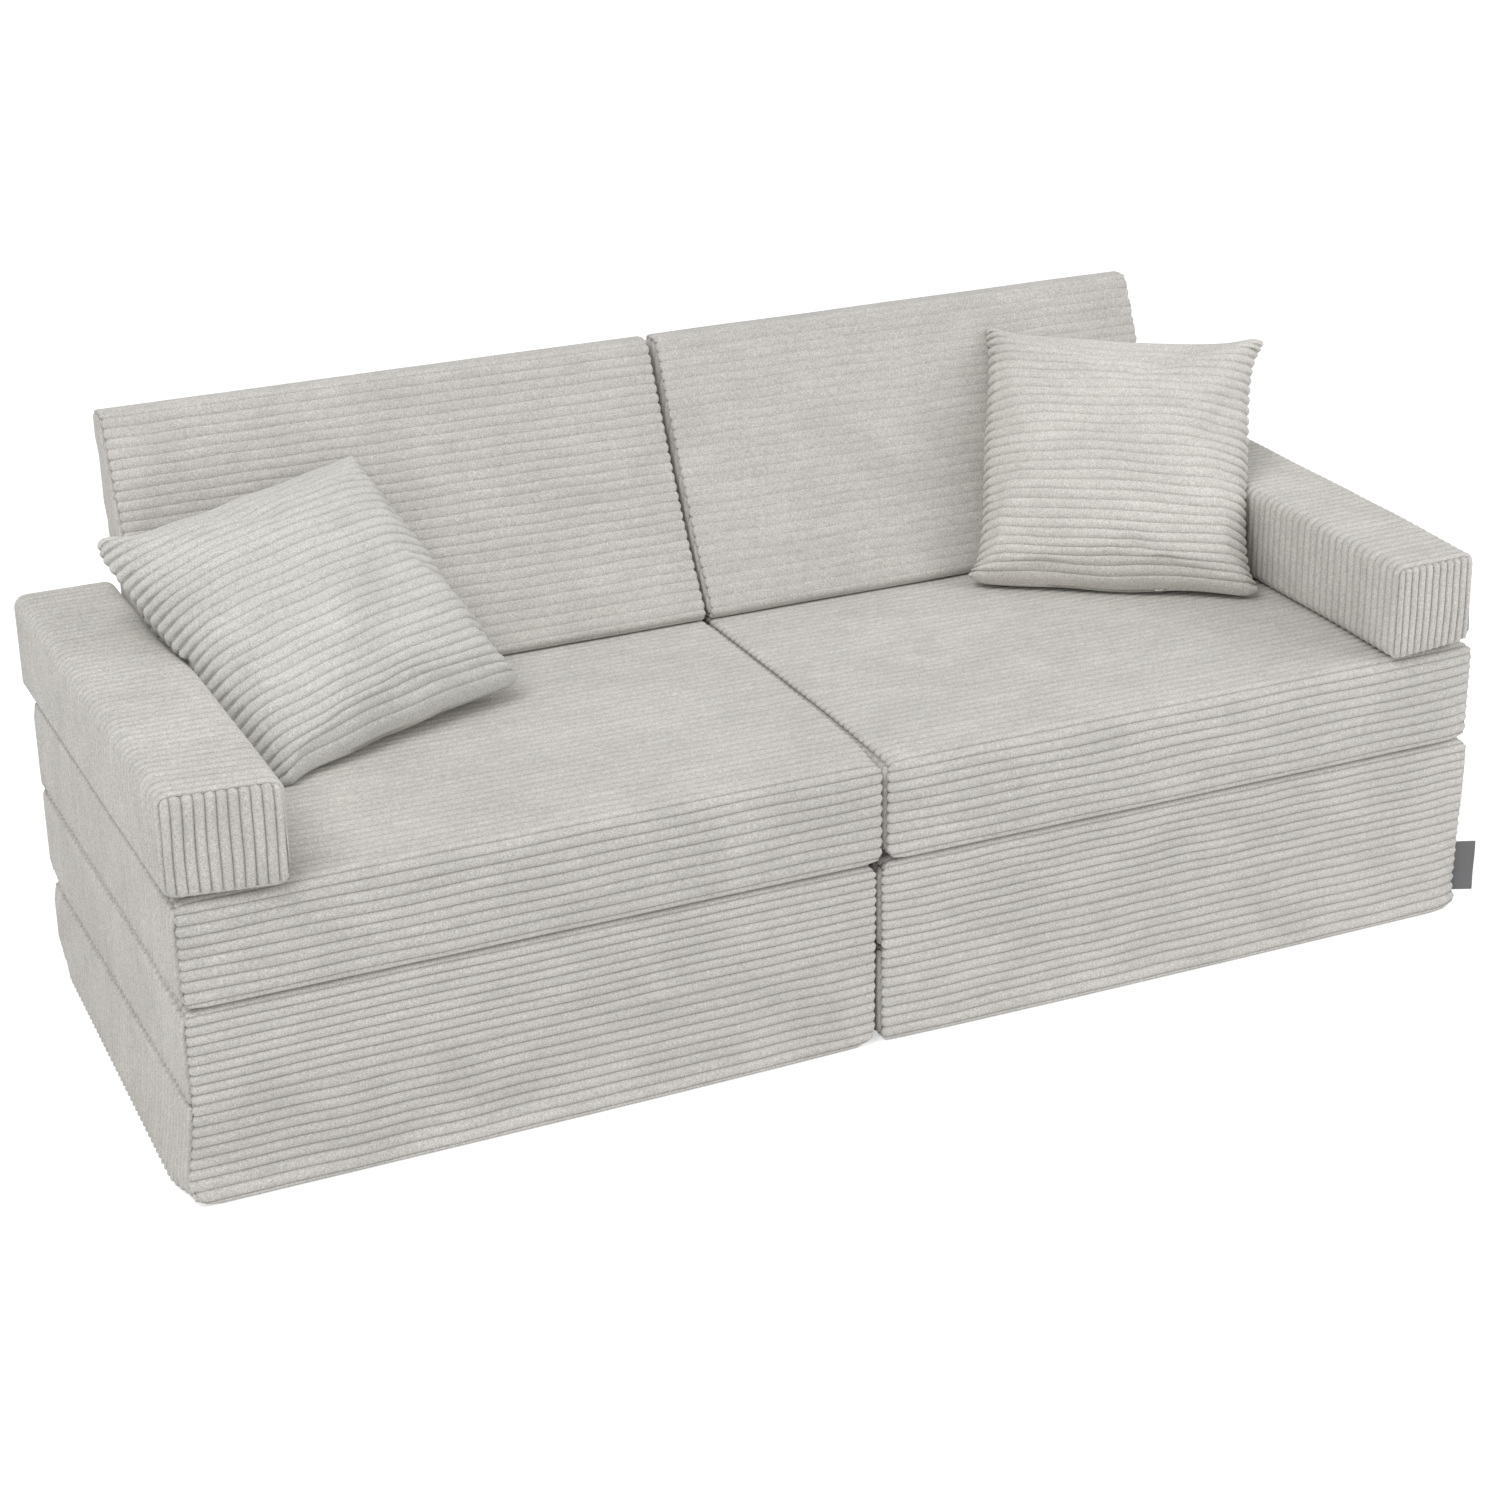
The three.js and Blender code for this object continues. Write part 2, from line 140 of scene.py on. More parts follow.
# How far the armrests' front ends reach forward at their outer and inner side, how far their outer
# lower edge is raised there, and how far the backrests' lower edges reach forward
ARM_FORWARD = {"left": (0.001, 0.013), "right": (0.006, 0.009)}
ARM_FORWARD_REACH = 0.24
ARM_UNDER_LIFT = {"left": 0.003, "right": 0.005}
ARM_UNDER_LIFT_REACH = 0.16
BACK_TOE = 0.009
BACK_TOE_REACH = 0.10

# How far the lower and middle slabs' facing sides draw apart at the floor, how much wider slabs are
# at their outer side, and how far the lower ones spread there and to the front on the floor
FLOOR_GAP = 0.0015
SLAB_WIDER = {"left": 0.0, "right": 0.0065}
FLOOR_SPREAD = {"left": 0.016, "right": 0.005}
FLOOR_FORWARD = 0.006
FLOOR_FORWARD_REACH = 0.026
FORWARD_POWER = 4

# How far a slab's outer front corner is drawn back at the floor, over what way inwards and upwards,
# and the share of it that the seats keep. STEEPENING is the power by which this and the lower slabs'
# spread grow towards the floor
CORNER_BACK = {"left": 0.0, "right": 0.012}
CORNER_BACK_REACH = 0.045
CORNER_BACK_HEIGHT = 0.15
SEAT_CORNER_SHARE = 0.5
STEEPENING = 1.5

# How far the seats' facing sides stand to the right of the middle, and the backrests' at their foot
# and at their top
SEAT_SHIFT = 0.006
BACK_SHIFTS = {"left": (0.005, 0.0), "right": (0.006, 0.003)}

# How much wider the left backrest is at its outer end, above the armrest
BACK_WIDER = {"left": 0.004, "right": 0.0}
BACK_WIDER_REACH = 0.05

# Zips lie in a channel in their cover
CHANNEL_DEPTH = 0.0030
CHANNEL_HALF = 0.0047
CHANNEL_WALL = 0.0005
CHANNEL_END = 0.003

# Camera, solved on the photograph's corners and seams. Its focal length is given in pixels over the
# picture's width
CAMERA_PLACE = Vector((-1.2372, -2.6857, 1.4820))
CAMERA_YAW = math.radians(24.628)
CAMERA_PITCH = math.radians(-23.297)
CAMERA_ROLL = math.radians(-0.777)
SENSOR_WIDTH = 36.0
FOCAL_SHARE = 3057.7 / 1500


# Materials

# How far from a rib's crest, as shares of the pitch, the painted shade on its flank and in its groove
# begins, and the share of its colour that the crest has, a slight painted highlight
FLANK_SHADE_START_SHARE = 0.24
GROOVE_SHADE_START_SHARE = 0.44
CREST_HIGHLIGHT_SHARE = 1.02
STREAK_STRETCH = (0.8, 0.14, 0)

# Noises: scale, detail, roughness and distortion, then the shares of a colour that they run between
STREAKS = (1, 3, 0.6, 0, 0.955, 1.04)
NAP = (9, 4, 0.6, 0.6, 0.95, 1.05)
PLUSH = (700, 2, 0.7, 0, 0.80, 1.18)
TUFTS = (260, 2, 0.6, 0, 0.945, 1.05)
FUZZ = (1500, 2, 0.5, 0, 0.94, 1.06)
WEAR = (420, 3, 0.6, 0, 0.93, 1.06)
LESS_ROUGH, MORE_ROUGH = 0.06, 0.08
NOISE_LOW, NOISE_HIGH = 0.3, 0.7
WEAVE_LOW, WEAVE_HIGH = 0.6, 2.4


def fill(made, inputs):
    """Sets inputs of a node to values, or links them to other nodes' outputs."""
    for key, value in inputs.items():
        if isinstance(value, bpy.types.NodeSocket):
            made.id_data.links.new(value, made.inputs[key])
        else:
            made.inputs[key].default_value = value
    return made


def node(tree, kind, inputs=None, **settings):
    made = tree.nodes.new(kind)
    for key, value in settings.items():
        setattr(made, key, value)
    return fill(made, inputs or {})


def maths(tree, operation, *values):
    return node(tree, "ShaderNodeMath", dict(enumerate(values)), operation=operation).outputs[0]


def ranged(tree, value, low, high, to_low, to_high):
    inputs = {"Value": value, "From Min": low, "From Max": high, "To Min": to_low, "To Max": to_high}
    return node(tree, "ShaderNodeMapRange", inputs, interpolation_type="SMOOTHSTEP").outputs["Result"]


def mottled(tree, vector, pattern):
    """A noise that runs between two shares of a colour."""
    scale, detail, roughness, distortion, low, high = pattern
    inputs = {"Scale": scale, "Detail": detail, "Roughness": roughness, "Distortion": distortion,
              "Vector": vector}
    made = node(tree, "ShaderNodeTexNoise", inputs).outputs["Fac"]
    return ranged(tree, made, NOISE_LOW, NOISE_HIGH, low, high)


def tinted(tree, colour, value):
    """A colour made lighter and darker by a varying value."""
    return node(tree, "ShaderNodeVectorMath", {0: colour, "Scale": value}, operation="SCALE").outputs[0]


def bumped(tree, height, strength, distance):
    inputs = {"Height": height, "Strength": strength, "Distance": distance}
    return node(tree, "ShaderNodeBump", inputs).outputs[0]


def surface(name):
    """A new material with its node tree, its shader and places on the object."""
    material = bpy.data.materials.new(name)
    material.use_nodes = True
    tree = material.node_tree
    place = node(tree, "ShaderNodeTexCoord").outputs["Object"]
    return material, tree, tree.nodes["Principled BSDF"], place


def corduroy(name, colour, groove, flank):
    """Plush corduroy: a brushed nap, a fine speckle, and painted shade in the grooves and on the flanks of
    its ribs.

    groove and flank are the shares of the colour that the painted shade leaves there.
    """
    material, tree, shader, place = surface(name)
    uv = node(tree, "ShaderNodeUVMap", uv_map="cloth").outputs["UV"]
    ribs = node(tree, "ShaderNodeSeparateXYZ", {0: uv}).outputs["X"]
    from_crest = maths(tree, "ABSOLUTE", maths(tree, "SUBTRACT", maths(tree, "FRACT", ribs), 0.5))
    # Painted shade darkens the grooves and the flanks, and a slight painted highlight lightens the crests
    painted_groove_shade = ranged(tree, from_crest, GROOVE_SHADE_START_SHARE, 0.5, 1.0, groove)
    painted_flank_shade = ranged(tree, from_crest, FLANK_SHADE_START_SHARE, 0.5, CREST_HIGHLIGHT_SHARE, flank)
    stretched = node(tree, "ShaderNodeVectorMath", {0: uv, 1: STREAK_STRETCH}, operation="MULTIPLY")
    plush, tufts = (mottled(tree, place, pattern) for pattern in (PLUSH, TUFTS))
    value = maths(tree, "MULTIPLY", painted_groove_shade, painted_flank_shade)
    for share in (mottled(tree, place, NAP), plush, tufts, mottled(tree, stretched.outputs[0], STREAKS)):
        value = maths(tree, "MULTIPLY", value, share)
    fill(shader, {
        "Base Color": tinted(tree, colour, value),
        "Roughness": 0.95,
        "Specular IOR Level": 0.15,
        "Sheen Weight": 0.2,
        "Sheen Roughness": 0.5,
        "Normal": bumped(tree, maths(tree, "ADD", plush, tufts), strength=0.5, distance=0.0012),
    })
    return material


def woven(name, colour, roughness, scale, contrast):
    """Woven tape: crossed rows of threads."""
    material, tree, shader, place = surface(name)
    inputs = {"Scale": scale, "Distortion": 0.6, "Detail": 1, "Vector": place}
    threads = [node(tree, "ShaderNodeTexWave", inputs, bands_direction=axis).outputs["Fac"]
               for axis in "XYZ"]
    weave = maths(tree, "ADD", maths(tree, "ADD", *threads[:2]), threads[2])
    rows = ranged(tree, weave, WEAVE_LOW, WEAVE_HIGH, 1 - contrast, 1 + contrast)
    fill(shader, {
        "Base Color": tinted(tree, colour, maths(tree, "MULTIPLY", rows, mottled(tree, place, FUZZ))),
        "Roughness": roughness,
        "Specular IOR Level": 0.3,
        "Normal": bumped(tree, weave, strength=0.6, distance=0.0002),
    })
    return material


def moulded(name, colour, roughness, metallic):
    """Moulded plastic or painted metal with slight wear."""
    material, tree, shader, place = surface(name)
    worn = (*WEAR[:4], roughness - LESS_ROUGH, roughness + MORE_ROUGH)
    fill(shader, {
        "Base Color": tinted(tree, colour, mottled(tree, place, WEAR)),
        "Roughness": mottled(tree, place, worn),
        "Metallic": metallic,
    })
    return material


# Colours are linear, judged against the photograph's lit cloth
CLOTH = corduroy("sofa_corduroy", (0.613, 0.594, 0.562), groove=0.73, flank=0.90)
# The backrests, the armrests and each pillow get copies of the cloth that are made lighter or darker, with
# more or less painted groove shade, so that their colour stands in for how light falls on each
BACK_LIT_CLOTHS = {
    "left": corduroy("left_backrest_corduroy", (0.592, 0.573, 0.543), groove=0.84, flank=1.0),
    "right": corduroy("right_backrest_corduroy", (0.597, 0.578, 0.548), groove=0.92, flank=1.0),
}
ARM_LIT_CLOTH = corduroy("armrest_corduroy", (0.625, 0.606, 0.573), groove=0.70, flank=0.87)
PILLOW_LIT_CLOTHS = {
    "left": corduroy("left_pillow_corduroy", (0.645, 0.637, 0.604), groove=0.82, flank=0.98),
    "right": corduroy("right_pillow_corduroy", (0.682, 0.661, 0.626), groove=0.88, flank=1.0),
}
TAPE = woven("zip_tape", (0.52, 0.50, 0.465), roughness=0.85, scale=700, contrast=0.12)
COIL = moulded("zip_coil", (0.50, 0.48, 0.45), roughness=0.45, metallic=0.0)
METAL = moulded("zip_slider", (0.45, 0.44, 0.42), roughness=0.35, metallic=0.8)
RIBBON = woven("label_ribbon", (0.205, 0.207, 0.212), roughness=0.6, scale=900, contrast=0.14)


# Shapes

def eased(share):
    """A share kept within 0 and 1, eased at both ends."""
    share = np.clip(share, 0, 1)
    return share * share * (3 - 2 * share)


def linked(name, data):
    """A new object in the scene."""
    made = bpy.data.objects.new(name, data)
    bpy.context.scene.collection.objects.link(made)
    return made


def line_ease(points, piece, folds):
    """How far points lie from a fold along one straight piece of an outline, eased from 0 to 1."""
    _, _, _, first, direction = piece
    for fold in folds:
        if abs(direction[0]) > 0.5 and abs(first[1] - fold[1]) < FOLD_EDGE:
            return eased(np.abs(points[..., 0] - fold[0]) / FOLD_EASE)
    return np.ones(points.shape[:-1])


class Outline:
    """A closed outline of straight sides and round corners, anticlockwise, measured by its length."""

    def __init__(self, corners, radii):
        corners = np.array(corners, dtype=float)
        self.corners, self.radii = corners, radii
        before = corners - np.roll(corners, 1, axis=0)
        after = np.roll(corners, -1, axis=0) - corners
        before /= np.linalg.norm(before, axis=1)[:, None]
        after /= np.linalg.norm(after, axis=1)[:, None]
        self.pieces = []
        self.corner_marks = []
        length = 0.0
        count = len(corners)
        turns = [math.acos(np.clip(before[i] @ after[i], -1, 1)) for i in range(count)]
        cut = [radii[i] * math.tan(turns[i] / 2) for i in range(count)]
        for i in range(count):
            start = corners[i] - before[i] * cut[i]
            inward = np.array([-before[i][1], before[i][0]])
            arc = radii[i] * turns[i]
            self.pieces.append(("arc", length, arc, start + inward * radii[i], radii[i], -inward, turns[i]))
            self.corner_marks.append(length + arc / 2)
            length += arc
            j = (i + 1) % count
            line_start = corners[i] + after[i] * cut[i]
            line = np.linalg.norm(corners[j] - before[j] * cut[j] - line_start)
            self.pieces.append(("line", length, line, line_start, after[i]))
            length += line
        self.length = length

    def at(self, places):
        """Points and outward normals at places along the outline."""
        places = np.mod(np.asarray(places, dtype=float), self.length)
        points = np.zeros((len(places), 2))
        normals = np.zeros((len(places), 2))
        for piece in self.pieces:
            kind, start, length = piece[:3]
            inside = (places >= start - TINY) & (places <= start + length + TINY)
            along = places[inside] - start
            if kind == "line":
                _, _, _, first, direction = piece
                points[inside] = first + along[:, None] * direction
                normals[inside] = (direction[1], -direction[0])
            else:
                _, _, _, centre, radius, out, turn = piece
                angle = along / length * turn
                cos, sin = np.cos(angle)[:, None], np.sin(angle)[:, None]
                side = np.array([-out[1], out[0]])
                normals[inside] = out * cos + side * sin
                points[inside] = centre + radius * normals[inside]
        return points, normals

    def shrunk(self, distance, below):
        """The outline with its sides moved inwards, and its lowest side by a distance of its own."""
        after = np.roll(self.corners, -1, axis=0) - self.corners
        after /= np.linalg.norm(after, axis=1)[:, None]
        inward = np.stack([-after[:, 1], after[:, 0]], axis=1)
        before = np.roll(inward, 1, axis=0)
        lean = 1 + np.sum(inward * before, axis=1)
        moved = self.corners + (inward + before) * (distance / lean)[:, None]
        lowest = self.corners[:, 1] < self.corners[:, 1].min() + NEAR
        moved[lowest, 1] += below - distance
        return Outline(moved, np.maximum(np.array(self.radii) - distance, FOLD_EDGE / 2))

    def depth(self, points, folds=()):
        """How far points lie inside the outline. The faces that meet at a fold don't count there."""
        depth = np.full(points.shape[:-1], np.inf)
        for piece in self.pieces:
            if piece[0] == "line":
                first, direction = piece[3:]
                inside = (points - first) @ (-direction[1], direction[0])
                depth = np.minimum(depth, inside / np.maximum(line_ease(points, piece, folds), LEAST_EASE))
            else:
                _, _, _, centre, radius, out, turn = piece
                off = points - centre
                last = np.array([out[0] * math.cos(turn) - out[1] * math.sin(turn),
                                 out[0] * math.sin(turn) + out[1] * math.cos(turn)])
                within = (out[0] * off[..., 1] - out[1] * off[..., 0] >= 0) & (
                    off[..., 0] * last[1] - off[..., 1] * last[0] >= 0)
                beyond = radius - np.linalg.norm(off, axis=-1)
                depth = np.where(within, np.minimum(depth, beyond), depth)
        return depth

    def ring(self, count):
        """Points at even places along the outline, and the places."""
        places = np.arange(count) / count * self.length
        return self.at(places)[0], places

    def nearest(self, point, count=NEAREST_SAMPLES):
        """The place on the outline that is nearest to a point."""
        points, places = self.ring(count)
        return places[np.linalg.norm(points - point, axis=1).argmin()]

    def columns(self, places, count=COLUMN_SAMPLES):
        """The lowest and highest points of the outline at places along its first axis."""
        ring = self.ring(count)[0]
        left, right = ring[:, 0].argmin(), ring[:, 0].argmax()
        lower = ring[np.arange(left, left + (right - left) % count + 1) % count]
        upper = ring[np.arange(right, right + (left - right) % count + 1) % count][::-1]
        return np.interp(places, lower[:, 0], lower[:, 1]), np.interp(places, upper[:, 0], upper[:, 1])


def rib_places(stops, pitch=RIB_PITCH):
    """Places across the ribs between stops, a groove at each stop: place, rib number, height."""
    places, ribs, heights = [], [], []
    number = 0
    for start, end in zip(stops[:-1], stops[1:]):
        count = max(1, round((end - start) / pitch))
        for k in range(count):
            places.extend(start + (end - start) * (k + RIB_SHARES) / count)
            ribs.extend(number + k + RIB_SHARES)
            heights.extend(-np.abs(2 * RIB_SHARES - 1) ** RIB_FLATNESS)
        number += count
    places.append(stops[-1])
    ribs.append(number)
    heights.append(-1.0)
    return np.array(places), np.array(ribs), np.array(heights)


def even_places(stops, step=ALONG_STEP):
    """Places along the ribs, evenly between stops."""
    places = []
    for start, end in zip(stops[:-1], stops[1:]):
        count = max(1, math.ceil((end - start) / step - NEAR))
        places.extend(start + (end - start) * np.arange(count) / count)
    places.append(stops[-1])
    return np.array(places)


def waves(points, seed):
    """A smooth vector field of unit size that makes cloth lie unevenly."""
    random = np.random.default_rng(seed)
    field = np.zeros(points.shape)
    for wave in WAVE_LENGTHS:
        for axis in range(3):
            direction = random.normal(size=3)
            direction *= 2 * math.pi / wave / np.linalg.norm(direction)
            field[..., axis] += np.sin(points @ direction + random.uniform(0, 2 * math.pi))
    return field / math.sqrt(len(WAVE_LENGTHS))


def grid_normals(points, closed):
    """Normals of a grid of points. The grid closes on itself along its first side where closed."""
    if closed:
        along_first = np.roll(points, -1, axis=0) - np.roll(points, 1, axis=0)
    else:
        along_first = np.gradient(points, axis=0)
    normals = np.cross(along_first, np.gradient(points, axis=1))
    return normals / np.maximum(np.linalg.norm(normals, axis=2), TINY)[..., None]


class Build:
    """Gathers the grids and seams of one piece and makes its mesh."""

    def __init__(self):
        self.points, self.quads, self.triangles, self.uvs = [], [], [], []
        self.count = 0

    def grid(self, points, first_uv, second_uv, closed=False, flip=False, ribs_first=True):
        """Adds a grid of points with its cloth coordinates, and returns the vertex numbers.

        ribs_first says that the grid's first side crosses the ribs, else its second side does.
        """
        rows, columns = points.shape[:2]
        numbers = self.count + np.arange(rows * columns).reshape(rows, columns)
        self.points.append(points.reshape(-1, 3))
        self.count += rows * columns
        ring = np.vstack([numbers, numbers[:1]]) if closed else numbers
        quads = np.stack([ring[:-1, :-1], ring[1:, :-1], ring[1:, 1:], ring[:-1, 1:]], axis=-1)
        u = np.broadcast_to(first_uv[:, None], (len(first_uv), columns))
        v = np.broadcast_to(second_uv[None, :], (len(first_uv), columns))
        uv = np.stack([u, v] if ribs_first else [v, u], axis=-1)
        uvs = np.stack([uv[:-1, :-1], uv[1:, :-1], uv[1:, 1:], uv[:-1, 1:]], axis=-2)
        if flip:
            quads = quads[..., ::-1]
            uvs = uvs[..., ::-1, :]
        self.quads.append(quads.reshape(-1, 4))
        self.uvs.append(uvs)
        return numbers

    def stitch(self, first, second, flip):
        """Closes the seam between two rings, each given as vertex numbers and turns about the middle."""
        rings, ends = [], []
        for ring, turns in (first, second):
            rings.append(ring[np.argsort(turns)])
            ends.extend((*np.sort(turns)[1:], turns.min() + 2 * math.pi))
        a, b = rings
        order = np.argsort(ends, kind="stable")
        on_a = order < len(a)
        i, j = np.cumsum(on_a) - on_a, np.cumsum(~on_a) - ~on_a
        a_now, a_next = a[i % len(a)], a[(i + 1) % len(a)]
        b_now, b_next = b[j % len(b)], b[(j + 1) % len(b)]
        triangles = np.stack([a_now, np.where(on_a, a_next, b_next), b_now], axis=1)
        if flip:
            triangles = triangles[:, ::-1]
        self.triangles.append(triangles)

    def object(self, name, material):
        quads = np.vstack(self.quads)
        triangles = np.vstack([np.zeros((0, 3), dtype=int), *self.triangles])
        uvs = np.vstack([uv.reshape(-1, 2) for uv in self.uvs] + [np.zeros((triangles.size, 2))])
        mesh = bpy.data.meshes.new(name)
        mesh.from_pydata(np.vstack(self.points).tolist(), [], quads.tolist() + triangles.tolist())
        mesh.uv_layers.new(name="cloth").data.foreach_set("uv", uvs.astype(np.float32).ravel())
        mesh.polygons.foreach_set("use_smooth", [True] * len(mesh.polygons))
        mesh.materials.append(material)
        return linked(name, mesh)


def seam_drop(distance, seam_depth):
    """How deep cloth dips into a seam at a distance from it, and how near it is from 0 to 1."""
    near = np.clip(1 - distance / SEAM_WIDTH, 0, 1)
    return seam_depth * (1 - np.sqrt(1 - near ** 2)), near


def soften(points, low, high, swell, seed):
    """Swells the faces of a box-like cushion and lets its cloth lie unevenly."""
    centre, half = (low + high) / 2, (high - low) / 2
    n = np.clip((points - centre) / half, -1, 1)
    moved = points.copy()
    for axis in range(3):
        others = [k for k in range(3) if k != axis]
        middle = (1 - n[..., others[0]] ** 2) * (1 - n[..., others[1]] ** 2)
        out = np.where(n[..., axis] > 0, swell[axis][1], swell[axis][0])
        moved[..., axis] += out * n[..., axis] * middle
    return moved + CLOTH_WAVE * waves(points, seed) * (1 - np.abs(n) ** EVEN_EDGE_POWER)


def sunk_ribs(heights, distance, rib_depth, seam_depth):
    """How far cloth lies below its crests: into the grooves, and into a seam at a distance.

    Ribs grow rounder towards the seam, so that each ends like a small bolster.
    """
    taper = np.clip(1 - distance / RIB_END_REACH, 0, 1)
    grooves = (-heights) ** (1 - RIB_END_ROUNDNESS * taper)
    drop, near = seam_drop(np.maximum(distance - RIB_END_SCALLOP * grooves, 0), seam_depth)
    return drop + grooves * rib_depth * (1 - SEAM_FADE_SHARE * near)


def fold_ease(points, folds):
    """How far points lie from the folds along the faces that meet there, eased from 0 to 1."""
    ease = np.ones(points.shape[:-1])
    for fold in folds:
        level = np.abs(points[..., 1] - fold[1]) <= FOLD_EDGE + CLOSE
        away = eased((np.abs(points[..., 0] - fold[0]) - FOLD_EDGE) / FOLD_EASE)
        ease = np.where(level, np.minimum(ease, away), ease)
    return ease


def set_in(outline, ring, outward, inset, folds):
    """Points of an outline's ring set in from its sides, without crossing at its square corners.

    The faces that meet at a fold aren't set in there, so that the cloth runs on across it.
    """
    points = ring[:, None] - outward[:, None] * (inset * fold_ease(ring, folds)[:, None])[..., None]
    if not folds:
        return points
    moves = np.zeros(points.shape)
    for piece in outline.pieces:
        if piece[0] == "line":
            first, direction = piece[3:]
            inward = np.array([-direction[1], direction[0]])
            need = inset * line_ease(points, piece, folds)
            lacking = np.maximum(need - (points - first) @ inward, 0)
            moves += lacking[..., None] * inward
    return points + moves


def channel_edges(middle):
    """The edges of a zip's channel about its middle line, at the top and the foot of its walls."""
    away = CHANNEL_HALF + np.array([0, CHANNEL_WALL])
    return {*(middle - away), *(middle + away)}


def rolled_places(flat, end):
    """Places along a cushion from where its flat part ends to the seam, closer together at the seam."""
    near_seam = end - SEAM_WIDTH * SEAM_SHARES[::-1]
    count = max(2, math.ceil((near_seam[0] - flat) / ROLL_STEP))
    middle = flat + (near_seam[0] - flat) * np.arange(count) / count
    return np.concatenate([middle, near_seam])


def arc_stops(outline):
    """Places within the arcs of an outline, so that its round corners stay round."""
    stops = []
    for piece in outline.pieces:
        if piece[0] == "arc":
            stops.extend(piece[1] + piece[2] * np.arange(ARC_STEPS + 1) / ARC_STEPS)
    return sorted({round(float(s), 9) for s in stops if NEAR < s < outline.length - NEAR})


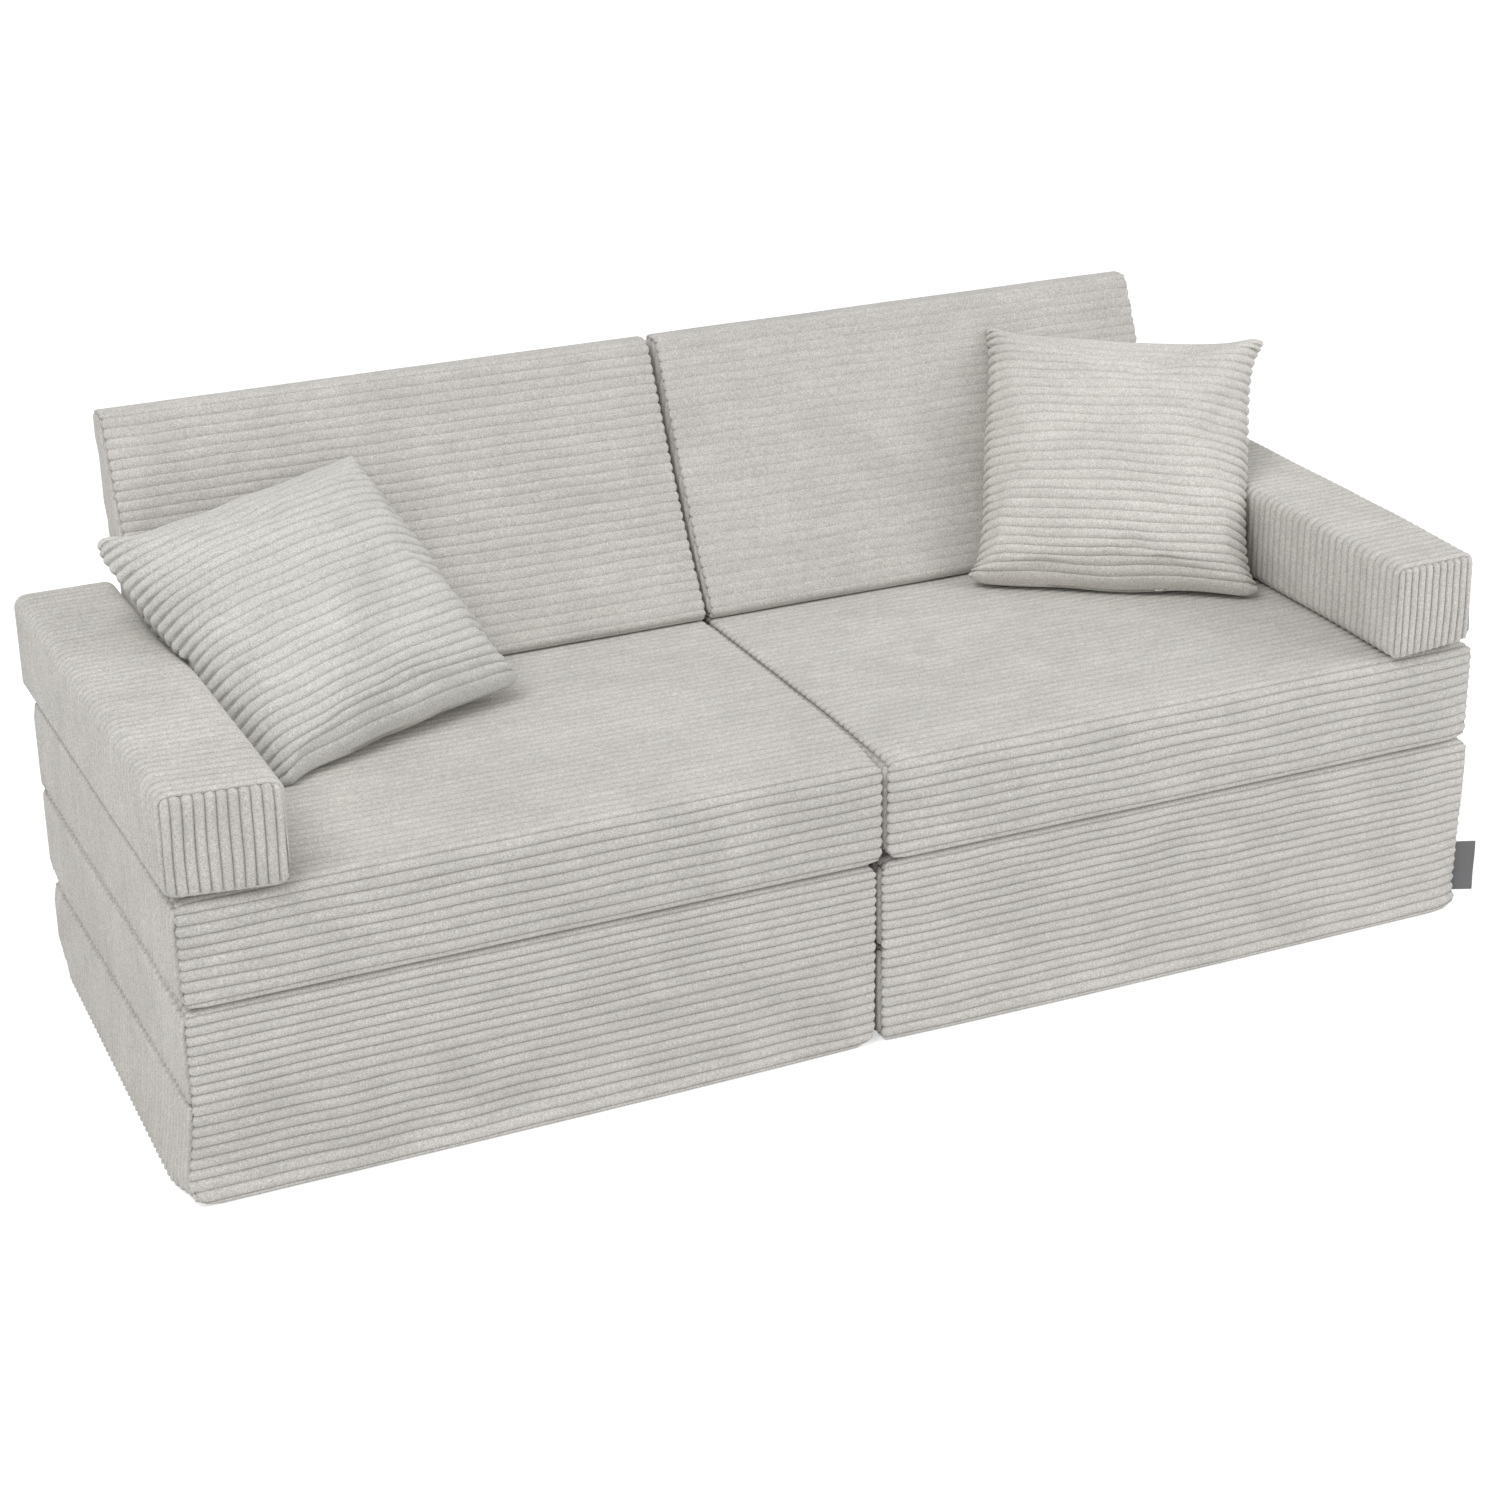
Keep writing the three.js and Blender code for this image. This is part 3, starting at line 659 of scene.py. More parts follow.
class Cushion:
    """A cushion wrapped in a band of cloth along one axis (0 for X, 1 for Y), with end panels.

    Its plain form is an outline drawn from low to high along the axis, and shape is a function that
    softens points of that form. The ribs run along a band that lies along X, and round one along Y.
    folds are the outline's corners on a fold, and marks their places along it, which fall in a
    groove. zip_box holds the zip, which lies in the band, or else in the panel at zip_end (-1 or 1).
    roll is the radius of its rounded ends. seam_angles say how far round each of them the band
    reaches, and under_angle how far on the underside.
    """

    def __init__(self, outline, low, high, axis, shape, zip_box, zip_end=0, folds=(), marks=(),
                 roll=END_ROLL, seam_angles=(SEAM_ANGLE, SEAM_ANGLE), under_angle=None,
                 rib_depth=RIB_DEPTH, seam_depth=SEAM_DEPTH, panel_pitch=RIB_PITCH):
        self.outline, self.shape, self.folds, self.marks = outline, shape, folds, marks
        self.axis, self.across = axis, 1 - axis
        self.centre = np.zeros(3)
        self.centre[axis] = (low[axis] + high[axis]) / 2
        self.end = (high[axis] - low[axis]) / 2
        self.zip_middle = (zip_box[0] + zip_box[1]) / 2 - self.centre
        self.zip_size, self.zip_end = zip_box[1] - zip_box[0], zip_end
        self.roll, self.seam_angles, self.under_angle = roll, seam_angles, under_angle
        self.depths, self.panel_pitch = (rib_depth, seam_depth), panel_pitch
        self.flat = self.end - roll
        self.build = Build()

    def points(self, along, across, upright):
        """Points at places along the axis, across it and upwards."""
        made = np.zeros((*across.shape, 3))
        made[..., self.axis] = along
        made[..., self.across] = across
        made[..., 2] = upright
        return made

    def band_places(self, channel, ends):
        """Places round and along the band, its cloth coordinates and the heights of its ribs."""
        length, flat = self.outline.length, self.flat
        if self.axis == 1:
            stops = {0, length, *arc_stops(self.outline)}
            if channel:
                stops |= channel_edges(channel[0])
            around = even_places(sorted(stops))
            axial, ribs, heights = rib_places((-ends[0], ends[1]))
            return around[:-1], axial, around / RIB_PITCH, ribs, heights[None, :]
        stops = {0.0, *(mark for mark in self.marks if mark > FOLD_EDGE), length}
        along_stops = {-flat, flat}
        if channel:
            stops |= {channel[0] - RIB_PITCH / 2, channel[0] + RIB_PITCH / 2}
            for way in (-1, 1):
                reach = channel[1] + way * channel[2]
                along_stops |= {reach, reach + way * CHANNEL_WALL}
        around, ribs, heights = rib_places(sorted(stops))
        low_half, high_half = (rolled_places(flat, end) for end in ends)
        axial = np.concatenate([-low_half[::-1], even_places(sorted(along_stops))[1:-1], high_half])
        return around[:-1], axial, ribs, axial / RIB_PITCH, heights[:-1, None]

    def band(self):
        """Lays the band, and returns its vertex numbers and the plain places of its points."""
        outline, roll, flat = self.outline, self.roll, self.flat
        ends = [flat + roll * angle for angle in self.seam_angles]
        channel = None
        if self.zip_end == 0:
            middle = self.zip_middle
            channel = (outline.nearest((middle[self.across], middle[2])), middle[self.axis],
                       self.zip_size[self.axis] / 2 + CHANNEL_END)
        around, axial, first_uv, second_uv, heights = self.band_places(channel, ends)
        ring, outward = outline.at(around)
        from_mark = np.full(len(around), outline.length)
        for mark in self.marks:
            way = np.abs(around - mark)
            from_mark = np.minimum(from_mark, np.minimum(way, outline.length - way))
        if self.marks:
            heights = np.where((from_mark < RIB_PITCH / 2)[:, None], heights * FOLD_GROOVE_SHARE, heights)
        angle = np.maximum(np.abs(axial) - flat, 0)[None, :] / roll
        if self.under_angle is not None:
            less = self.under_angle / self.seam_angles[0] - 1
            angle = angle * (1 + less * np.maximum(-outward[:, 1:], 0))
        angle = np.broadcast_to(angle, (len(around), len(axial)))
        position = np.sign(axial) * (np.minimum(np.abs(axial), flat) + roll * np.sin(angle))
        drawn_in = roll * (1 - np.cos(angle))
        section = set_in(outline, ring, outward, drawn_in, self.folds)
        base = self.points(position, section[..., 0], section[..., 1]) + self.centre
        soft = self.shape(base)
        normals = grid_normals(soft, closed=True)
        middle = normals[:, len(axial) // 2]
        facing = middle[:, self.across] * outward[:, 0] + middle[:, 2] * outward[:, 1]
        flip = facing.sum() < 0
        if flip:
            normals = -normals
        from_seam = (np.where(axial < 0, *ends) - np.abs(axial))[None, :]
        sunk = sunk_ribs(heights, from_seam, *self.depths)
        if channel:
            half_width = CHANNEL_HALF if self.axis == 1 else RIB_PITCH / 2
            near = (np.abs(around - channel[0]) < half_width + CLOSE)[:, None]
            within = near & (np.abs(position - channel[1]) < channel[2] + CLOSE)
            sunk = np.where(within, CHANNEL_DEPTH, np.broadcast_to(sunk, within.shape))
        sunk = np.broadcast_to(sunk, angle.shape)
        lowered = set_in(outline, ring, outward, drawn_in + np.cos(angle) * sunk, self.folds) - section
        plain = self.points(-np.sign(axial) * np.sin(angle) * sunk, lowered[..., 0], lowered[..., 1])
        trust = np.clip(from_mark / FOLD_REACH - 1, 0, 1)[:, None, None]
        sunk = sunk * fold_ease(ring, self.folds)[:, None]
        final = soft - normals * sunk[..., None] * trust + plain * (1 - trust)
        numbers = self.build.grid(final, first_uv, second_uv, closed=True, flip=flip,
                                  ribs_first=self.axis == 0)
        return numbers, base

    def panel_heights(self, height, round_part, zip_level):
        """Shares of a panel's height for its points, closer together at its seams and its zip."""
        edge = np.append(SEAM_WIDTH * SEAM_SHARES, round_part)
        stops = {round_part, height - round_part}
        if zip_level is not None:
            stops |= channel_edges(zip_level)
        return np.concatenate([edge, even_places(sorted(stops))[1:-1], height - edge[::-1]]) / height

    def panel(self, way):
        """Lays the panel at one end. Its ribs stand upright, and a zip runs across them.

        Returns the vertex numbers round its edge and the plain places of those points.
        """
        roll, folds, middle = self.roll, self.folds, self.zip_middle
        seam_angle = self.seam_angles[(way + 1) // 2]
        inset = roll * (1 - math.cos(seam_angle))
        under_inset = inset if self.under_angle is None else roll * (1 - math.cos(self.under_angle))
        ring = self.outline.shrunk(inset, under_inset)
        extent = ring.ring(PANEL_SAMPLES)[0][:, 0]
        across, ribs, heights = rib_places((extent.min(), extent.max()), self.panel_pitch)
        outermost = (ribs < 0.5) | (ribs > ribs[-1] - 0.5)
        heights = np.where(outermost, heights * PANEL_SIDE_GROOVE_SHARE, heights)
        bottom, top = ring.columns(across)
        for fold in folds:
            kept = inset * (1 - eased(np.abs(across - fold[0]) / FOLD_EASE))
            if fold[1] > (bottom.min() + top.max()) / 2:
                top = top + kept
            else:
                bottom = bottom - kept
        tallest = (top - bottom).argmax()
        height = top[tallest] - bottom[tallest]
        round_part = max(roll * math.cos(seam_angle), SEAM_WIDTH + CHANNEL_WALL)
        zip_level = middle[2] - bottom[tallest] if self.zip_end == way else None
        shares = self.panel_heights(height, round_part, zip_level)
        upright = bottom[:, None] + (top - bottom)[:, None] * shares[None, :]
        across = np.broadcast_to(across[:, None], upright.shape)
        flat = np.stack([across, upright], axis=-1)
        depth = self.outline.depth(flat, folds)
        rise = np.clip(1 - depth / roll, 0, 1)
        base = self.points(way * (self.end - roll * (1 - np.sqrt(1 - rise ** 2))), across, upright)
        base += self.centre
        soft = self.shape(base)
        normals = grid_normals(soft, closed=False)
        flip = np.sum(normals[..., self.axis]) * way < 0
        if flip:
            normals = -normals
        from_seam = depth - inset if self.under_angle is None else ring.depth(flat)
        sunk = sunk_ribs(heights[:, None], np.maximum(from_seam, 0), *self.depths)
        if self.zip_end == way:
            reach = self.zip_size[self.across] / 2 + CHANNEL_END
            within = (np.abs(upright - middle[2]) < CHANNEL_HALF + CLOSE) & (
                np.abs(across - middle[self.across]) < reach)
            sunk = np.where(within, CHANNEL_DEPTH, sunk)
        final = soft - normals * sunk[..., None]
        numbers = self.build.grid(final, ribs, shares * height / RIB_PITCH, flip=flip)
        edge = np.concatenate([
            numbers[:, 0], numbers[-1, 1:], numbers[-2::-1, -1], numbers[0, -2:0:-1],
        ])
        return edge, base.reshape(-1, 3)[edge - numbers[0, 0]]

    def sewn(self, name, cloth):
        """The cushion's piece: its band and both panels, sewn together."""
        numbers, base = self.band()
        middle = base.mean(axis=(0, 1))

        def turns(places):
            return np.arctan2(places[..., 2] - middle[2], places[..., self.across] - middle[self.across])
        for way in (-1, 1):
            last = 0 if way < 0 else -1
            edge, places = self.panel(way)
            band_edge = numbers[:, last], turns(base[:, last])
            self.build.stitch(band_edge, (edge, turns(places)), flip=(way > 0) == (self.axis == 0))
        made = self.build.object(name, cloth)
        return made


class Sweeps:
    """Gathers swept and boxy solids, each with its own material number."""

    def __init__(self):
        self.points, self.faces, self.materials, self.count = [], [], [], 0

    def tube(self, rings, material):
        """A closed solid through rings of points, all with as many points."""
        rings = np.asarray(rings, dtype=float)
        steps, sides = rings.shape[:2]
        numbers = self.count + np.arange(steps * sides).reshape(steps, sides)
        self.points.extend(rings.reshape(-1, 3))
        self.count += steps * sides
        after = np.roll(numbers, -1, axis=1)
        quads = np.stack([numbers[:-1], after[:-1], after[1:], numbers[1:]], axis=-1).reshape(-1, 4)
        faces = [*quads.tolist(), numbers[0][::-1].tolist(), numbers[-1].tolist()]
        self.faces.extend(faces)
        self.materials.extend([material] * len(faces))

    def block(self, low, high, material, steps=1, bevel=0.0):
        """A box from low to high, cut into steps along its first axis, with bevelled long edges."""
        (x0, y0, z0), (x1, y1, z1) = low, high
        loop = [(y0, z0), (y1, z0), (y1, z1), (y0, z1)]
        if bevel:
            loop = [(y0 + bevel, z0), (y1 - bevel, z0), (y1, z0 + bevel), (y1, z1 - bevel),
                    (y1 - bevel, z1), (y0 + bevel, z1), (y0, z1 - bevel), (y0, z0 + bevel)]
        rings = [[(x0 + (x1 - x0) * k / steps, y, z) for y, z in loop] for k in range(steps + 1)]
        self.tube(rings, material)

    def object(self, name, place, materials):
        """The mesh with its points moved by place, a function of points."""
        mesh = bpy.data.meshes.new(name)
        mesh.from_pydata(place(np.array(self.points)).tolist(), [], self.faces)
        for material in materials:
            mesh.materials.append(material)
        mesh.polygons.foreach_set("material_index", self.materials)
        bm = bmesh.new()
        bm.from_mesh(mesh)
        bmesh.ops.recalc_face_normals(bm, faces=bm.faces)
        bm.to_mesh(mesh)
        bm.free()
        mesh.polygons.foreach_set("use_smooth", [False] * len(mesh.polygons))
        return linked(name, mesh)


# Pieces

SLAB_WIDTH = 0.699
HALVES_GAP = 0.0006
END_GAP = 0.0003
BACK_BASE_DEPTH = 0.115
BACK_TOP_DEPTH = 0.030
ARM_WIDTH = 0.106

# How far the armrests' inner sides lean inwards, from where forward and over what way, and how much
# their outer sides are drawn in at the front
ARM_LEAN = {"left": (0.0085, 0.118, 0.14), "right": (0.008, 0.22, 0.34)}
ARM_OUTER_NARROWER = {"left": 0.0, "right": 0.014}

SLAB_FOLDS = {
    "lower": ("front_high",),
    "middle": ("front_low", "rear_high"),
    "seat": ("rear_low",),
}
SLAB_NODES = {
    "lower": ("lower_cover", "lower_foam", "front_hinge_lower"),
    "middle": ("middle_cover", "middle_foam", "front_hinge_upper", "rear_hinge_lower"),
    "seat": ("seat_cover", "seat_foam", "rear_hinge_upper"),
}
SLAB_BODIES = {"lower": "base", "middle": "middle", "seat": "seat"}
CORNER_NAMES = ("front_low", "rear_low", "rear_high", "front_high")


def node_box(side, node_name):
    low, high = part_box(f"{side}_{node_name}")
    return np.array(low), np.array(high)


def carried(made, side, body, *node_names):
    """Hides the CAD nodes that a piece stands for and puts it on the body that it rides on."""
    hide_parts(*[f"{side}_{node_name}" for node_name in node_names])
    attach(made, f"{side}_{body}")


def seed_of(side, name):
    return sum(name.encode()) + (LEFT_SEED if side == "left" else 0)


def facing_last(side, outer, facing):
    """A value for a piece's outer side and one for the side that faces the other half, from the left."""
    return (outer, facing) if side == "left" else (facing, outer)


def arm_lean(side, places):
    """How far an armrest's inner side leans inwards at places along Y."""
    most, start, reach = ARM_LEAN[side]
    return most * eased((start - places) / reach)


def outer_swell(side, swell):
    """Swelling of a piece's left and right faces: only the outer one is free to swell."""
    return (swell, 0) if side == "left" else (0, swell)


def round_corners(points, low, high, names, floor_corners):
    """Rounds the named corners of a slab's front and rear faces, as seen from the front."""
    moved = points.copy()
    for name in names:
        face, level = name.split("_")
        way_back = points[..., 1] - low[1] if face == "front" else high[1] - points[..., 1]
        on_floor = level == "low" and low[2] < SLAB_EDGE
        from_level = moved[..., 2] - low[2] if level == "low" else high[2] - moved[..., 2]
        for end in (-1, 1):
            full = floor_corners[(end + 1) // 2] if on_floor else SLAB_CORNER
            radius = full - (full - END_ROLL) * eased(way_back / SLAB_CORNER_REACH)
            from_end = moved[..., 0] - low[0] if end < 0 else high[0] - moved[..., 0]
            a = np.clip(1 - from_end / radius, 0, None)
            b = np.clip(1 - from_level / radius, 0, None)
            beyond = np.maximum(np.hypot(a, b), 1)
            moved[..., 0] += -end * radius * (a - a / beyond)
            moved[..., 2] += (1 if level == "low" else -1) * radius * (b - b / beyond)
    return moved


# A zip's two tapes, its teeth, and its slider and pull tab as length, width and height
ZIP_TAPE_INNER, ZIP_TAPE_OUTER, ZIP_TAPE_THICKNESS = 0.0008, 0.0037, 0.0005
ZIP_TOOTH_PITCH, ZIP_TOOTH_RADIUS = 0.0013, 0.00036
ZIP_TOOTH_PATH = ((-0.0014, 0.0004), (-0.0010, 0.0009), (0, 0.0011), (0.0010, 0.0009), (0.0014, 0.0004))
ZIP_SLIDER = (0.009, 0.0060, 0.0021)
ZIP_SLIDER_BEVEL = 0.0005
ZIP_PULL = (0.017, 0.0044, 0.0007)
ZIP_PULL_BORDER = 0.0012
ZIP_END_ROOM = 0.004


def zip_parts(length, pull_tab=True):
    """A closed coil zip about its middle: along X, across Y, and Z up from the channel's floor."""
    parts = Sweeps()
    half = length / 2
    steps = max(1, round(length / ALONG_STEP))
    for way in (-1, 1):
        edges = sorted((way * ZIP_TAPE_INNER, way * ZIP_TAPE_OUTER))
        parts.block((-half, edges[0], 0), (half, edges[1], ZIP_TAPE_THICKNESS), 0, steps)
    teeth = int((length - 2 * ZIP_END_ROOM) / ZIP_TOOTH_PITCH)
    corners = [(1, 0), (0, 1), (-1, 0), (0, -1)]
    for k in range(teeth):
        x = (k - (teeth - 1) / 2) * ZIP_TOOTH_PITCH
        rings = [
            [(x + a * ZIP_TOOTH_RADIUS, y, z + b * ZIP_TOOTH_RADIUS) for a, b in corners]
            for y, z in ZIP_TOOTH_PATH
        ]
        parts.tube(rings, 1)
    body, width, height = ZIP_SLIDER
    start = half - ZIP_END_ROOM - body
    bottom = ZIP_TAPE_THICKNESS
    parts.block((start, -width / 2, bottom), (start + body, width / 2, height), 2, 2, ZIP_SLIDER_BEVEL)
    if not pull_tab:
        return parts
    pull, pull_width, thickness = ZIP_PULL
    border = ZIP_PULL_BORDER
    first, last = start - pull + body / 2, start + body / 2
    for way in (-1, 1):
        edges = sorted((way * (pull_width / 2 - border), way * pull_width / 2))
        parts.block((first, edges[0], height), (last, edges[1], height + thickness), 2)
    for x in (first, last - border):
        parts.block((x, -pull_width / 2 + border, height),
                    (x + border, pull_width / 2 - border, height + thickness), 2)
    return parts


def fastener(side, name, body, parts, place):
    """A zip's piece, its parts put in their channel by place, a function of points."""
    made = parts.object(f"{side}_{name}_fastener", place, (TAPE, COIL, METAL))
    carried(made, side, body, f"{name}_zip")


def flat_zip(side, name, body, face, out_axis, out_way, shape):
    """A zip in the channel of a face, bent as its cushion's shape bends that face."""
    low, high = node_box(side, f"{name}_zip")
    middle, size = (low + high) / 2, high - low
    along = max((k for k in range(3) if k != out_axis), key=lambda k: size[k])
    across = 3 - along - out_axis

    def place(points):
        at_face = np.zeros(points.shape)
        at_face[:, along] = middle[along] + points[:, 0]
        at_face[:, across] = middle[across] + points[:, 1]
        at_face[:, out_axis] = face
        moved = shape(at_face)
        moved[:, out_axis] += out_way * (points[:, 2] - CHANNEL_DEPTH + ZIP_TAPE_THICKNESS / 2)
        return moved
    fastener(side, name, body, zip_parts(size[along]), place)


def slab(side, name):
    """A mattress slab. Its corners that lie on a fold are square, so the cloth runs on across it."""
    low, high = node_box(side, f"{name}_cover")
    front = node_box(side, "front_hinge_lower")[0][1]
    rear = node_box(side, "rear_hinge_upper")[1][1]
    inner = OUTWARD[side] * (HALVES_GAP / 2 + END_GAP)
    outer = OUTWARD[side] * (HALVES_GAP / 2 + SLAB_WIDTH - END_GAP)
    low = np.array([min(inner, outer), front, low[2]])
    high = np.array([max(inner, outer), rear, high[2]])
    block_top = node_box(side, "middle_cover")[1][2]
    folds = SLAB_FOLDS[name]
    free = [corner for corner in CORNER_NAMES if corner not in folds]
    corners = [(front, low[2]), (rear, low[2]), (rear, high[2]), (front, high[2])]
    radii = [FOLD_EDGE if corner in folds else SHARPER_SLAB_EDGES.get((name, corner), SLAB_EDGE)
             for corner in CORNER_NAMES]
    outline = Outline(corners, radii)
    at_folds = sorted(CORNER_NAMES.index(corner) for corner in folds)
    swell = (outer_swell(side, SLAB_SWELL), (SLAB_SWELL if name == "seat" else 0, 0), (0, 0))

    def shape(points):
        moved = soften(points, low, high, swell, seed_of(side, name))
        moved = round_corners(moved, low, high, free, FLOOR_CORNERS[side])
        from_front = points[..., 1] - low[1]
        at_front = eased(1 - from_front / SLAB_FRONT_REACH)
        if name != "lower":
            share = (moved[..., 2] - low[2]) / (high[2] - low[2])
            hang = np.clip(1 - share if name == "seat" else share, 0, 1)
            moved[..., 2] -= SEAT_SAG * hang * at_front
        if name == "seat":
            moved[..., 2] -= SEAT_TOP_SAG * (1 - hang) * eased(1 - from_front / TOP_SAG_REACH)
        from_outer = np.abs(moved[..., 0] - outer) / SLAB_WIDTH
        below = np.clip(1 - moved[..., 2] / block_top, 0, 1)
        moved[..., 0] += OUTWARD[side] * FLOOR_GAP * below * from_outer
        wider = SLAB_WIDER[side]
        drawn_back = np.clip(1 - points[..., 2] / CORNER_BACK_HEIGHT, 0, 1) ** STEEPENING
        if name == "seat":
            moved[..., 0] += SEAT_SHIFT * from_outer
            drawn_back = SEAT_CORNER_SHARE
        if name == "lower":
            height = np.clip(points[..., 2], 0, None)
            ahead = np.clip(1 - from_front / (high[1] - low[1]), 0, 1)
            spread = ahead * np.clip(1 - height / high[2], 0, 1) ** STEEPENING
            wider = wider + FLOOR_SPREAD[side] * spread
            forward = eased(1 - height / FLOOR_FORWARD_REACH) * (1 - from_outer ** FORWARD_POWER)
            moved[..., 1] -= FLOOR_FORWARD * forward * at_front
        moved[..., 0] += OUTWARD[side] * wider * np.clip(1 - from_outer, 0, 1) ** 2
        at_corner = np.clip(1 - from_outer * SLAB_WIDTH / CORNER_BACK_REACH, 0, 1) ** 2
        moved[..., 1] += CORNER_BACK[side] * at_corner * drawn_back * at_front
        return moved
    cushion = Cushion(outline, low, high, 0, shape, node_box(side, f"{name}_zip"),
                      zip_end=0 if name == "lower" else -OUTWARD[side],
                      folds=[corners[i] for i in at_folds],
                      marks=[outline.corner_marks[i] for i in at_folds],
                      seam_angles=facing_last(side, SEAM_ANGLE, FACING_SEAM_ANGLE))
    made = cushion.sewn(f"{side}_{name}_cushion", CLOTH)
    body = SLAB_BODIES[name]
    face = (rear, 1, 1) if name == "lower" else (inner, 0, -OUTWARD[side])
    flat_zip(side, name, body, *face, shape)
    carried(made, side, body, *SLAB_NODES[name])


def backrest(side):
    """A wedge whose front leans back. Its ribs run level, and its side panels are narrow."""
    low, high = node_box(side, "back_cover")
    outline = Outline([
        (low[1], low[2]), (low[1] + BACK_BASE_DEPTH, low[2]),
        (high[1], high[2]), (high[1] - BACK_TOP_DEPTH, high[2]),
    ], [BACK_EDGE] * 4)
    outer = low[0] if side == "left" else high[0]
    arm_top = node_box(side, "arm_cover")[1][2]

    def shape(points):
        moved = soften(points, low, high, ((0, 0), (0, 0), (0, 0)), seed_of(side, "backrest"))
        share = np.clip((high[1] - points[..., 1]) / BACK_BASE_DEPTH, 0, 1)
        moved[..., 1] -= BACK_TOE * share * eased(1 - (points[..., 2] - low[2]) / BACK_TOE_REACH)
        from_outer = np.clip(np.abs(points[..., 0] - outer) / (high[0] - low[0]), 0, 1)
        foot = np.clip((high[2] - points[..., 2]) / (high[2] - low[2]), 0, 1)
        foot_shift, top_shift = BACK_SHIFTS[side]
        moved[..., 0] += (top_shift + (foot_shift - top_shift) * foot) * from_outer
        above = eased((points[..., 2] - arm_top) / BACK_WIDER_REACH)
        moved[..., 0] += OUTWARD[side] * BACK_WIDER[side] * above * (1 - from_outer) ** 2
        return moved
    cushion = Cushion(outline, low, high, 0, shape, node_box(side, "back_zip"), roll=THIN_END_ROLL,
                      seam_angles=facing_last(side, BACK_SEAM_ANGLE, BACK_FACING_SEAM_ANGLE),
                      rib_depth=BACK_RIB_DEPTHS[side])
    made = cushion.sewn(f"{side}_backrest_cushion", BACK_LIT_CLOTHS[side])
    flat_zip(side, "back", "backrest", low[2], 2, -1, shape)
    carried(made, side, "backrest", "back_cover", "back_foam")


def armrest(side):
    """A box whose ribs run round it, with a panel of upright ribs at each end."""
    low, high = node_box(side, "arm_cover")
    inner = high[0] if side == "left" else low[0]
    outer = inner + OUTWARD[side] * ARM_WIDTH
    first, last = sorted((inner, outer))
    corners = [(first, low[2]), (last, low[2]), (last, high[2]), (first, high[2])]
    outline = Outline(corners, [ARM_EDGE] * 4)
    swell = (outer_swell(side, ARM_SWELL), (0, 0), (0, 0))

    def shape(points):
        moved = soften(points, low, high, swell, seed_of(side, "armrest"))
        share = np.clip(np.abs(points[..., 0] - outer) / ARM_WIDTH, 0, 1)
        moved[..., 0] -= OUTWARD[side] * share * arm_lean(side, points[..., 1])
        from_front = points[..., 1] - low[1]
        onward = np.clip(1 - from_front / (high[1] - low[1]), 0, 1)
        moved[..., 0] -= OUTWARD[side] * ARM_OUTER_NARROWER[side] * (1 - share) * onward
        outer_forward, inner_forward = ARM_FORWARD[side]
        forward = outer_forward + (inner_forward - outer_forward) * share
        moved[..., 1] -= forward * eased(1 - from_front / ARM_FORWARD_REACH)
        moved[..., 2] -= ARM_SAG * eased(1 - from_front / TOP_SAG_REACH)
        below = np.clip((high[2] - points[..., 2]) / (high[2] - low[2]), 0, 1)
        lift = ARM_UNDER_LIFT[side] * below * (1 - share)
        moved[..., 2] += lift * eased(1 - from_front / ARM_UNDER_LIFT_REACH)
        return moved
    cushion = Cushion(outline, low, high, 1, shape, node_box(side, "arm_zip"),
                      seam_angles=(ARM_SEAM_ANGLE, ARM_SEAM_ANGLE), under_angle=ARM_UNDER_SEAM_ANGLE,
                      rib_depth=ARM_RIB_DEPTH, seam_depth=ARM_SEAM_DEPTH, panel_pitch=ARM_PANEL_PITCH)
    made = cushion.sewn(f"{side}_armrest_cushion", ARM_LIT_CLOTH)
    flat_zip(side, "arm", "armrest", low[2], 2, -1, shape)
    carried(made, side, "armrest", "arm_cover", "arm_foam")


# Pillows

PILLOW_SIDE = 0.310
PILLOW_THICKNESS = 0.104
PILLOW_SWELL_POWER = 0.56
PILLOW_STEP = 0.008

# How the pillows stand, in degrees, and the plainer form of their solids, which tells where
PILLOW_POSES = {
    "left": {"yaw": 18, "lean": 50, "roll": -4.5},
    "right": {"yaw": -34, "lean": 38, "roll": 0},
}
PILLOW_CAD_STEPS = 12
CAD_DRAWN_IN, CAD_FULLNESS = 0.11, 2

# Their cloth: how much larger it is cut, and how far its sides are drawn in between the ears
PILLOW_CLOTH_SHARE = 1.05
PILLOW_FULLNESS = 6
PILLOW_DRAWN_IN = {
    "left": {"left": -0.01, "right": 0.05, "upward": 0.045},
    "right": {"left": 0.075, "right": 0.09, "upward": 0.045},
}
PILLOW_ZIP = 0.13
PILLOW_ZIP_SUNK = 0.0014
REST_CLEARANCE = 0.0012

# The ears: how round, and how far each is moved sideways and up, as its side, its level and two moves
EAR_ROUND_SHARE = 0.19
EAR_MOVES = {
    "left": ((-1, 1, -0.016, 0),),
    "right": ((1, -1, 0.012, 0.012), (-1, -1, 0, 0.012), (-1, 1, -0.004, 0.007), (1, 1, 0.006, 0.007)),
}

# How far the pillows have sunk below their solids' places
PILLOW_DROP = {"left": 0.0, "right": 0.006}

# The hem: its half thickness, its scalloped edge and the deeper ribs beside it
RIM_HALF = 0.0055
RIM_FLATNESS = 24
SCALLOP = 0.0036
SCALLOP_REACH = 0.009
HEM_RIB_DEEPER = 0.7
HEM_RIB_REACH = 0.035

# Pillow cloth as simulated
PILLOW_CELLS = 40
PILLOW_QUALITY = 8
PILLOW_PRESSURE = 4.0
PILLOW_FRAMES = 20
PILLOW_MOVE_LIMIT = 0.008
PILLOW_UNEVENNESS = 0.0015


